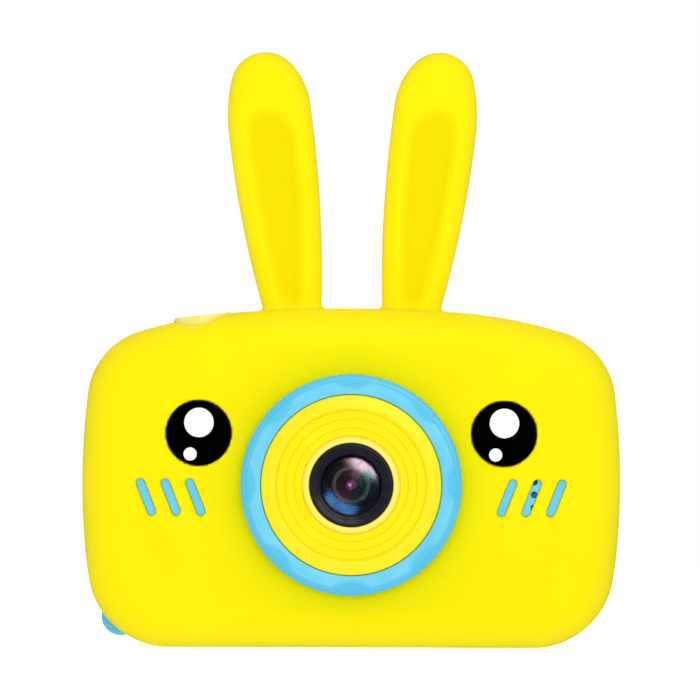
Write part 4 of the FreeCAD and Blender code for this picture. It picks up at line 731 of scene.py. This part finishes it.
def build_shutter():
    """The shutter button: a dished, leaning cap on its flange and stem."""
    low = span("shutter_button")[0]
    base = low[2]
    stem = base + 0.05  # so that a pressed button stays just clear of the switch
    lean = math.tan(math.radians(6.65))
    outline = [
        (0.0, stem), (2.0, stem, 0.1), (2.0, base + 0.5), (5.9, base + 0.5, 0.1),
        (5.9, base + 1.5, 0.1), (5.15, base + 1.5), (5.15, 59.2, 0.5), (4.3, 59.15, 1.2),
        (2.4, 58.72, 3.0), (0.0, 58.6),
    ]
    outline = resampled(softened(outline, 0.1, 6)[::-1], 0.6)
    points, faces = lathe(outline, (0, 0, 0), axis="z", segments=128)
    top = points[:, 2] > base + 3
    points[:, 2] += np.where(top, lean * points[:, 0], 0)
    flange = ~top & (np.hypot(points[:, 0], points[:, 1]) > 5.2)
    flat = low[1] - SHUTTER_SPOT[1]
    points[:, 1] = np.where(flange, np.maximum(points[:, 1], flat), points[:, 1])
    points[:, :2] += SHUTTER_SPOT
    look = ("shutter", "yellow_plastic", ["shutter_button"])
    outward(make_object("shutter_button_skin", points, faces, *look))


def eyelet_field(x, y, z):
    """The round lug with its hole, on a tab that leads to a broad head inside the body."""
    front, back = reach_along_y("lanyard_eyelet")
    x, z = x - EYELET_SPOT[0], z - EYELET_SPOT[1]
    u, v = turned(x, z, math.radians(49))
    lug = disc(x, z, (0, 0), 3.5)
    tab = soft_box(u, v, (2.0, -2.0), (8.0, 2.0), 0.1)
    head = soft_box(u, v, (6.4, -3.4), (8.0, 3.4), 0.1)
    flat = np.minimum(round_min(lug, tab, 0.4), head)
    solid = slab(flat, y, front, back, 0.7, 0.7)
    return carve(solid, disc(x, z, (0, 0), 1.75), 0.5)


def wall_patch(x, y, z, low, high, corner, rim):
    """The part of the body's side wall that a window from low to high cuts out."""
    outline = body_outline(x, z)
    window = soft_box(y, z, low[1:], high[1:], corner)
    patch = np.maximum(round_max(outline, window, rim), -(outline + WALL))
    return np.maximum(patch, PORT_INSIDE - x)


def port_cover_field(x, y, z):
    """The cover's flap, and the plug behind it that fits the port's opening."""
    plug = soft_box(y, z, (5.0, 21.1), (9.0, 41.9), 0.4)
    plug = round_max(plug, np.maximum(44.0 - x, body_outline(x, z) + 1.5), 0.3)
    return np.minimum(wall_patch(x, y, z, *span("port_cover"), 0.7, 0.35), plug)


def port_anchor_field(x, y, z):
    """The strip below the flap, and the foot that holds it in the sleeve."""
    low, high = span("port_cover_anchor")
    foot = soft_box(y, z, (low[1] + 2.3, low[2] + 0.9), (high[1] - 2.3, low[2] + 2.3), 0.2)
    foot = round_max(foot, np.maximum(low[0] - x, x - low[0] - 4.6), 0.2)
    return np.minimum(wall_patch(x, y, z, low, high, 0.3, 0.3), foot)


PAD_SPOT = middle("ok_key")[[0, 2]]
PAD_INNER, PAD_OUTER, PAD_HALF = 5.2, 9.0, math.radians(36)
OK_RADIUS, ROUND_RADIUS, FLANGE = 3.6, 2.6, 15.5
STEM_REACH, STEM_RADIUS, MARK_REACH = 7.1, 1.7, 7.2
KEY_TURNS = {"right_key": 0, "up_key": 90, "left_key": 180, "down_key": 270}


def sector(x, z, grow):
    """The distance to the direction key that points along +X, with soft corners."""
    radius = np.hypot(x, z)
    turn = np.abs(np.arctan2(z, x))
    ring = np.maximum(PAD_INNER - grow - radius, radius - PAD_OUTER - grow)
    side = radius * np.sin(np.minimum(turn - PAD_HALF, math.pi / 2)) - grow
    return round_max(ring, side, 0.6)


def key_field(name):
    """The field of a key: its dished cap, the flange under it and its stem."""
    stem_end, back = reach_along_y(name)
    spot = middle(name)

    def field(x, y, z):
        u, v = x - PAD_SPOT[0], z - PAD_SPOT[1]
        if name in KEY_TURNS:
            u, v = turned(u, v, math.radians(KEY_TURNS[name]))
            cap = sector(u, v, 0.0)
            flange = sector(u, v, 0.4)
            stem = disc(u, v, (STEM_REACH, 0), STEM_RADIUS)
            dish = 0.25 * smooth_step(-cap / 1.8)
        else:
            radius = OK_RADIUS if name == "ok_key" else ROUND_RADIUS
            cap = disc(x, z, (spot[0], spot[2]), radius)
            flange = cap - 0.6
            stem = disc(x, z, (spot[0], spot[2]), STEM_RADIUS)
            dish = 0.3 * smooth_step(-cap / radius)
        solid = slab(cap, y + dish * (y > 17), FLANGE, back, 0.0, 0.5)
        solid = np.minimum(solid, slab(flange, y, FLANGE - 0.28, FLANGE + 0.28, 0.1, 0.1))
        return np.minimum(solid, slab(stem, y, stem_end, FLANGE, 0.1, 0.0))

    return field


def build_small_pieces():
    build_field("lanyard_eyelet_lug", eyelet_field, "lanyard_eyelet", "camera", "blue_plastic")
    build_field("port_cover_flap", port_cover_field, "port_cover", "port_cover", "blue_rubber", 0.25)
    build_field(
        "port_cover_anchor_strip", port_anchor_field, "port_cover_anchor", "camera", "blue_rubber"
    )
    for name in (*KEY_TURNS, "ok_key", "mode_key", "power_key"):
        build_field(name + "_cap", key_field(name), name, name, "yellow_plastic", 0.18)


def prism(name, outline, front, back, round_off, body, slot, replaced=()):
    """A flat plate parallel to the camera's back, whose rims are rounded. outline gives the
    loop of points at an inset."""
    steps = 4
    rings = []
    for y, way in ((front, 1), (back, -1)):
        turns = range(steps + 1) if way > 0 else range(steps, -1, -1)
        for i in turns:
            t = math.pi / 2 * i / steps
            inset = round_off * (1 - math.sin(t))
            rings.append((inset, y + way * round_off * (1 - math.cos(t))))
    points, faces = [], []
    for inset, y in rings:
        points += [(x, y, z) for x, z in outline(inset)]
    count = len(points) // len(rings)
    for k in range(len(rings) - 1):
        for i in range(count):
            j = (i + 1) % count
            faces.append([k * count + i, k * count + j, (k + 1) * count + j, (k + 1) * count + i])
    faces.append(list(range(count)))
    faces.append(list(range(len(points) - count, len(points)))[::-1])
    return outward(make_object(name, points, faces, body, slot, replaced))


def rounded_rectangle(centre, width, height, corner, steps=8):
    def loop(inset):
        w, h, r = width / 2 - inset, height / 2 - inset, max(corner - inset, 0.01)
        found = []
        for k, (sx, sz) in enumerate(((1, 1), (-1, 1), (-1, -1), (1, -1))):
            for i in range(steps + 1):
                t = math.pi / 2 * (k + i / steps)
                x = centre[0] + sx * (w - r) + r * math.cos(t)
                found.append((x, centre[1] + sz * (h - r) + r * math.sin(t)))
        return found

    return loop


def build_screen():
    """The display's window, and the display area as a thin plate on it."""
    low, high = span("screen_window")
    front, back = reach_along_y("screen_window")
    width, height = high[0] - low[0], high[2] - low[2]
    centre = ((low[0] + high[0]) / 2, (low[2] + high[2]) / 2)
    pane = rounded_rectangle(centre, width, height, 3.0)
    replaced = ["screen_window"]
    prism("screen_window_pane", pane, front, back, 0.25, "camera", "screen_acrylic", replaced)
    area = rounded_rectangle(centre, width - 5, height - 6, 0.6)
    prism("display_area", area, back - 0.2, back + 0.02, 0.01, "camera", "lcd")


def triangle(centre, radius, turn, corner=0.25):
    """A small triangle with soft corners that points at an angle."""

    def loop(inset):
        turns = [turn + 2 * math.pi * k / 3 for k in range(3)]
        ways = [np.array([math.cos(t), math.sin(t)]) for t in turns]
        spots = [centre + (radius - inset) * way for way in ways]
        found = []
        for i in range(3):
            found += arc_points(spots[i - 1], spots[i], spots[i - 2], corner, 4)
        return found

    return loop


def build_marks():
    """A plain printed triangle on each direction key."""
    for name, degrees in KEY_TURNS.items():
        turn = math.radians(degrees)
        way = np.array([math.cos(turn), math.sin(turn)])
        mark = triangle(PAD_SPOT + MARK_REACH * way, 1.0, turn)
        back = reach_along_y(name)[1]
        prism(name + "_mark", mark, back - 0.3, back - 0.2, 0.02, name, "white_print")


# ---------- materials


def linear(*shade):
    """A colour given as the usual 0 to 255 values."""
    shares = [value / 255 for value in shade]
    return (*(s / 12.92 if s < 0.04 else ((s + 0.055) / 1.055) ** 2.4 for s in shares), 1.0)


def new_node(tree, kind, **values):
    """A node with some of its sockets and settings given."""
    made = tree.nodes.new(kind)
    for key, value in values.items():
        if key in made.inputs:
            made.inputs[key].default_value = value
        else:
            setattr(made, key, value)
    return made


class Shader:
    """A principled material whose colour, roughness and relief come from noise in the frame's
    own coordinates. Its tones are given as 0 to 255 values."""

    def __init__(self, name, **sockets):
        self.material = bpy.data.materials.new(name)
        self.material.use_nodes = True
        self.tree = self.material.node_tree
        self.shader = self.tree.nodes["Principled BSDF"]
        for socket, value in sockets.items():
            self.shader.inputs[socket.replace("_", " ")].default_value = value
        self.place = self.tree.nodes.new("ShaderNodeTexCoord").outputs["Object"]
        self.relief = None

    def node(self, kind, **values):
        return new_node(self.tree, kind, **values)

    def link(self, source, target):
        self.tree.links.new(source, target)

    def noise(self, size, detail=3.0, stretch=None):
        """Noise whose features are about size millimetres."""
        made = self.node("ShaderNodeTexNoise", Scale=1 / (size * MM), Detail=detail)
        where = self.place
        if stretch:
            mapping = self.node("ShaderNodeMapping", Scale=stretch)
            self.link(where, mapping.inputs["Vector"])
            where = mapping.outputs["Vector"]
        self.link(where, made.inputs["Vector"])
        return made.outputs["Fac"]

    def ramp(self, source, low, high, start=0.35, end=0.65):
        """low where the source is below start, high where it is above end."""
        limits = {"From Min": start, "From Max": end, "To Min": low, "To Max": high}
        made = self.node("ShaderNodeMapRange", interpolation_type="SMOOTHSTEP", **limits)
        self.link(source, made.inputs["Value"])
        return made.outputs["Result"]

    def mix(self, share, first, second):
        made = self.node("ShaderNodeMix", data_type="RGBA")
        for socket, value in ((made.inputs[6], first), (made.inputs[7], second)):
            if isinstance(value, tuple):
                socket.default_value = linear(*value)
            else:
                self.link(value, socket)
        self.link(share, made.inputs[0])
        return made.outputs[2]

    def tone(self):
        """The share that paint() stored."""
        return self.node("ShaderNodeAttribute", attribute_name="tone").outputs["Fac"]

    def colour(self, source):
        self.link(source, self.shader.inputs["Base Color"])
        return self

    def blotches(self, first, second, size, start=0.35, end=0.65):
        """Two tones in soft blotches."""
        return self.mix(self.ramp(self.noise(size), 0, 1, start, end), first, second)

    def mottled(self, first, second, size):
        return self.colour(self.blotches(first, second, size, 0.3, 0.7))

    def worn(self, body, edge, low, high, strength):
        """A paler tone where the surface turns sharply outwards."""
        pointed = self.node("ShaderNodeNewGeometry").outputs["Pointiness"]
        return self.colour(self.mix(self.ramp(pointed, 0, strength, low, high), body, edge))

    def rough(self, low, high, size):
        source = self.ramp(self.noise(size), low, high)
        self.link(source, self.shader.inputs["Roughness"])
        return self

    def bump(self, size, height, stretch=None):
        """Fine relief: size is a feature's width and height its depth, in millimetres."""
        made = self.node("ShaderNodeBump", Strength=1.0, Distance=height * MM)
        self.link(self.noise(size, stretch=stretch), made.inputs["Height"])
        if self.relief is not None:
            self.link(self.relief, made.inputs["Normal"])
        self.relief = made.outputs["Normal"]
        self.link(self.relief, self.shader.inputs["Normal"])
        return self


# The third yellow on the next line is painted shade for the ears' hollows.
YELLOW, YELLOW_DEEP, YELLOW_DISH_SHADE = (255, 238, 12), (253, 234, 5), (241, 222, 0)
# The second yellow on the next line is a painted highlight for the sleeve's finger scoop.
YELLOW_PALE, YELLOW_SCOOP_HIGHLIGHT, YELLOW_DUST = (255, 241, 110), (252, 238, 160), (255, 240, 60)
# The third blue on the next line is painted shade for the ring's scoops and rim.
BLUE, BLUE_DEEP, BLUE_PAINTED_SHADE = (115, 213, 245), (105, 207, 243), (84, 196, 233)
BLUE_PALE, BLUE_SHELL = (126, 220, 249), (97, 200, 238)


def yellow_silicone():
    soft = {"Subsurface_Weight": 0.12, "Subsurface_Scale": 0.0012}
    shine = {"Specular_IOR_Level": 0.3, "Specular_Tint": linear(255, 235, 90)}
    made = Shader("yellow_silicone", Subsurface_Radius=(1.0, 0.8, 0.15), **soft, **shine)
    base = made.mix(made.ramp(made.noise(22.0, 2.0), 0, 0.5), YELLOW, YELLOW_DEEP)
    # Painted shade: the darker yellow in the ears' hollows.
    base = made.mix(made.ramp(made.tone(), 0, 1, 0, 1), base, YELLOW_DISH_SHADE)
    # Painted highlight: the paler yellow in the finger scoop.
    base = made.mix(made.ramp(made.tone(), 1, 0, -1, 0), base, YELLOW_SCOOP_HIGHLIGHT)
    dust = made.ramp(made.noise(0.5, 1.0), 0, 0.25, 0.72, 0.78)
    made.colour(made.mix(dust, base, YELLOW_DUST))
    return made.rough(0.46, 0.62, 6.0).bump(0.35, 0.006).bump(9.0, 0.02)


def yellow_plastic():
    made = Shader("yellow_plastic")
    made.worn(YELLOW, YELLOW_PALE, 0.55, 0.65, 0.4)
    return made.rough(0.24, 0.34, 2.5).bump(0.4, 0.002)


def bezel_plastic():
    """The funnel's yellow, with a painted highlight where the tone is painted: on the bead round the
    lens and faintly on the outer band.
    """
    made = Shader("bezel_plastic", Specular_Tint=linear(255, 245, 150))
    made.colour(made.mix(made.tone(), made.blotches(YELLOW, YELLOW_DEEP, 5.0), YELLOW_PALE))
    return made.rough(0.26, 0.34, 2.5).bump(0.4, 0.002)


def ring_plastic():
    """The ring's blue, with painted shade in the finger scoops and on the outer rim."""
    made = Shader("ring_plastic")
    made.colour(made.mix(made.tone(), made.blotches(BLUE, BLUE_DEEP, 7.0), BLUE_PAINTED_SHADE))
    return made.rough(0.34, 0.46, 2.5).bump(0.3, 0.004)


def front_glass():
    """The front glass, whose coating reflects pink, and mint nearer the middle."""
    made = Shader("front_glass", Metallic=1.0, Alpha=0.42)
    pink = made.blotches((255, 222, 240), (244, 196, 220), 1.2)
    pink = made.mix(made.ramp(made.tone(), 0, 1, 0, 1), pink, (140, 206, 200))
    made.colour(made.mix(made.ramp(made.tone(), 1, 0, -1, 0), pink, (150, 120, 112)))
    return made.rough(0.24, 0.3, 2.0)


def pupil_glass():
    """The innermost element, with a painted magenta glow (emission) in the small hole before it and a
    painted white glint.
    """
    shine = linear(255, 120, 255)
    made = Shader("pupil_glass", IOR=1.9, Specular_Tint=shine, Emission_Strength=1.8)
    patches = made.ramp(made.noise(0.7, 1.0), 0, 1)
    glow = made.mix(patches, (120, 20, 90), (190, 60, 170))
    glow = made.mix(made.tone(), glow, (255, 225, 250))
    # Painted light: the magenta and the glint are emitted, though nothing lights them.
    made.link(glow, made.shader.inputs["Emission Color"])
    return made.colour(glow).rough(0.05, 0.1, 1.0)


def circuit_board():
    made = Shader("circuit_board")
    shades = {"Color1": linear(20, 96, 58), "Color2": linear(26, 108, 66)}
    traces = made.node("ShaderNodeTexBrick", Scale=260.0, Mortar=linear(58, 140, 92), **shades)
    made.link(made.place, traces.inputs["Vector"])
    made.colour(traces.outputs["Color"])
    return made.rough(0.3, 0.5, 2.0).bump(0.5, 0.006)


def steel():
    made = Shader("steel", Metallic=1.0)
    made.mottled((196, 198, 202), (170, 172, 178), 1.5)
    return made.rough(0.22, 0.4, 0.6).bump(0.12, 0.003, stretch=(8.0, 1.0, 1.0))


OWN = [yellow_silicone, yellow_plastic, bezel_plastic, ring_plastic]
OWN += [front_glass, pupil_glass, circuit_board, steel]

# Two tones and their size, the least and most roughness and its size, and the relief's size and
# height.
MOTTLED = {
    "shutter_plastic": ((255, 241, 128), (253, 235, 104), 3.0, (0.26, 0.38, 2.5), (0.4, 0.002)),
    "blue_plastic": (BLUE_DEEP, BLUE_SHELL, 7.0, (0.3, 0.45, 2.5), (0.3, 0.004)),
    "blue_rubber": (BLUE, BLUE_PALE, 5.0, (0.5, 0.65, 3.0), (0.4, 0.006)),
    "black_print": ((0, 0, 1), (3, 3, 4), 3.0, (0.14, 0.2, 1.5), (1.5, 0.002)),
    "white_print": ((255, 255, 255), (248, 248, 250), 1.5, (0.25, 0.4, 1.0), (0.5, 0.001)),
    "black_plastic": ((30, 30, 42), (38, 37, 50), 2.0, (0.28, 0.4, 1.5), (0.8, 0.003)),
    "grey_plastic": ((206, 206, 222), (184, 184, 202), 1.5, (0.22, 0.35, 0.8), (0.5, 0.001)),
    "coated_glass": ((150, 120, 170), (140, 110, 160), 4.0, (0.04, 0.08, 2.0), None),
    "filter_glass": ((90, 150, 170), (120, 180, 190), 3.0, (0.04, 0.1, 1.0), None),
    "blue_coating": ((64, 150, 214), (84, 120, 190), 1.6, (0.2, 0.28, 1.0), (0.8, 0.002)),
    "screen_acrylic": ((10, 11, 14), (16, 17, 22), 12.0, (0.05, 0.11, 6.0), (4.0, 0.002)),
}

# Two tones, their size and the roughness, for what hardly shows.
PLAIN = {
    "lcd": ((26, 30, 40), (34, 38, 50), 8.0, 0.25),
    "foam": ((34, 34, 36), (48, 48, 50), 0.6, 0.95),
    "chip_black": ((26, 26, 28), (38, 38, 40), 1.5, 0.6),
    "socket_white": ((226, 222, 208), (208, 204, 190), 2.0, 0.5),
    "battery_foil": ((200, 202, 206), (180, 182, 188), 4.0, 0.3),
    "battery_tape": ((228, 224, 210), (214, 208, 190), 3.0, 0.8),
    "speaker_metal": ((14, 14, 16), (24, 24, 27), 1.2, 0.5),
    "red_wire": ((200, 28, 26), (178, 20, 22), 2.0, 0.45),
    "black_wire": ((22, 22, 24), (34, 34, 36), 2.0, 0.45),
    "amber_flex": ((206, 120, 24), (186, 100, 18), 2.0, 0.35),
    "clear_plastic": ((226, 232, 236), (210, 220, 228), 2.0, 0.15),
}
SOCKETS = {
    "blue_rubber": {"Subsurface_Weight": 0.05, "Subsurface_Scale": 0.001},
    "black_print": {"Specular_IOR_Level": 0.06},
    "black_plastic": {"Specular_IOR_Level": 0.3},
    "grey_plastic": {"Metallic": 0.2},
    "coated_glass": {"Metallic": 1.0, "Alpha": 0.22},
    "filter_glass": {"Alpha": 0.6},
    "blue_coating": {"Metallic": 1.0, "Alpha": 0.85},
    "screen_acrylic": {"Coat_Weight": 0.4, "Coat_Roughness": 0.03},
    "battery_foil": {"Metallic": 0.9},
    "speaker_metal": {"Metallic": 0.6},
}

SPECIAL = {
    "shutter_button_skin": "shutter_plastic",
    "focus_ring_skin": "ring_plastic",
    "lens_bezel_skin": "bezel_plastic",
    "front_lens_coating": "blue_coating",
    "front_lens_glass": "front_glass",
    "rear_lens_glass": "pupil_glass",
}


def build_material(name):
    for make in OWN:
        if make.__name__ == name:
            return make().material
    if name in PLAIN:
        first, second, size, roughness = PLAIN[name]
        rough, relief = (roughness * 0.8, min(1, roughness * 1.25), size), (0.3, 0.004)
    else:
        first, second, size, rough, relief = MOTTLED[name]
    made = Shader(name, **SOCKETS.get(name, {})).mottled(first, second, size).rough(*rough)
    return (made.bump(*relief) if relief else made).material


def dress():
    """Gives each piece and each shown CAD node its own material or that of its slot."""
    slots = {part["node"]: part["material_slot"] for part in frame["record"]["subparts"]}
    found = {}
    for piece in list(bpy.context.scene.objects):
        if piece.type != "MESH":
            continue
        slot = piece.get("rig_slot") or slots.get(piece.get("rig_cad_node"))
        if slot is None:
            continue
        name = SPECIAL.get(piece.name, slot)
        if name not in found:
            found[name] = build_material(name)
        piece.data.materials.clear()
        piece.data.materials.append(found[name])


# ---------- stage, light and camera

VIEW_WIDTH, VIEW_MIDDLE, VIEW_SIDE = 125.0, 53.1, -0.3
ROLL = math.radians(-0.2)
CAMERA_FAR, SENSOR = 2500.0, 36.0
FACE_DEPTH = -6.0


def build_stage():
    """A round white floor that glows a little, and neither lights the object nor shows in it."""
    far, sides = 900.0, 96
    turns = [2 * math.pi * i / sides for i in range(sides)]
    mesh = bpy.data.meshes.new("floor")
    points = [(far * math.cos(t), far * math.sin(t), 0) for t in turns]
    mesh.from_pydata((np.array(points) * MM).tolist(), [], [list(range(sides))])
    floor = placed("floor", mesh)
    paper = Shader("paper", Roughness=0.9, Emission_Color=(1, 1, 1, 1), Emission_Strength=0.55)
    paper.mottled((252, 252, 252), (250, 250, 250), 80.0)
    paper.material.cycles.emission_sampling = "NONE"
    mesh.materials.append(paper.material)
    floor.visible_glossy = False
    floor.visible_diffuse = False


def softbox(name, place, aim, width, height, power, mirrored=False):
    """A rectangular light. A mirrored one shows in glossy surfaces, and it lies across Y."""
    data = bpy.data.lights.new(name, "AREA")
    data.shape = "RECTANGLE"
    data.size, data.size_y = width * MM, height * MM
    data.energy = power
    lamp = placed(name, data)
    lamp.visible_glossy = mirrored
    lamp.location = Vector(place) * MM
    lamp.rotation_mode = "QUATERNION"
    back = (lamp.location - Vector(aim) * MM).normalized()
    across = Vector((0, 1, 0) if mirrored else (0, 0, 1)).cross(back).normalized()
    axes = Matrix((across, back.cross(across), back)).transposed()
    lamp.rotation_quaternion = axes.to_quaternion()
    return lamp


SURROUND, UNDERGLOW = 0.75, 1.0


def build_world():
    """A white surround: plain behind the object, soft light for it, dark in its reflections.
    It gives a little more light from below, as a white table would."""
    world = bpy.data.worlds.new("studio")
    world.use_nodes = True
    tree = world.node_tree
    nodes, link = tree.nodes, tree.links.new
    seen = nodes["Background"]
    seen.inputs["Color"].default_value = (1, 1, 1, 1)
    lit = new_node(tree, "ShaderNodeBackground", Color=(1, 1, 1, 1))
    apart = nodes.new("ShaderNodeSeparateXYZ")
    link(nodes.new("ShaderNodeTexCoord").outputs["Generated"], apart.inputs[0])
    limits = {"From Min": -0.4, "From Max": 0.2, "To Min": UNDERGLOW, "To Max": SURROUND}
    rise = new_node(tree, "ShaderNodeMapRange", **limits)
    link(apart.outputs["Z"], rise.inputs["Value"])
    link(rise.outputs["Result"], lit.inputs["Strength"])
    path = nodes.new("ShaderNodeLightPath")
    unmirrored = nodes.new("ShaderNodeMixShader")
    link(path.outputs["Is Glossy Ray"], unmirrored.inputs[0])
    link(lit.outputs[0], unmirrored.inputs[1])
    either = nodes.new("ShaderNodeMixShader")
    link(path.outputs["Is Camera Ray"], either.inputs[0])
    link(unmirrored.outputs[0], either.inputs[1])
    link(seen.outputs[0], either.inputs[2])
    link(either.outputs[0], nodes["World Output"].inputs["Surface"])
    bpy.context.scene.world = world


AIM = (0, 0, 40)
LIGHT_FAR = 900.0


def round_axis(off, turn):
    """A place in front of the lens, off degrees away from its axis, turned from +X towards +Z."""
    off, turn = math.radians(off), math.radians(turn)
    side = LIGHT_FAR * math.sin(off)
    return (side * math.cos(turn), -LIGHT_FAR * math.cos(off), AIM[2] + side * math.sin(turn))


def build_light():
    mirrored = softbox("mirrored_light", round_axis(48, 60), AIM, 1100, 380, 3.4, mirrored=True)
    mirrored.visible_diffuse = False
    softbox("front_light", (0, -1400, 60), AIM, 700, 500, 7.1)
    softbox("upper_light", round_axis(30, 70), AIM, 500, 500, 0.3)
    softbox("top_light", (0, -60, LIGHT_FAR), (0, 0, 0), 700, 700, 0.9)
    softbox("back_light", (250, 850, 450), AIM, 600, 600, 2.5)
    bpy.context.scene.view_settings.view_transform = "Standard"


def build_camera():
    data = bpy.data.cameras.new("camera")
    data.sensor_width = SENSOR
    data.lens = SENSOR * CAMERA_FAR / VIEW_WIDTH
    data.clip_end = 20.0
    camera = placed("camera", data)
    camera.location = Vector((VIEW_SIDE, FACE_DEPTH - CAMERA_FAR, VIEW_MIDDLE)) * MM
    camera.rotation_euler = (math.pi / 2, ROLL, 0)
    bpy.context.scene.camera = camera


# ---------- all of it

build_sleeve()
build_ring()
build_bezel()
build_barrel()
build_glass()
build_baffle()
build_eyes()
build_shutter()
build_small_pieces()
build_screen()
build_marks()
dress()
build_stage()
build_world()
build_light()
build_camera()
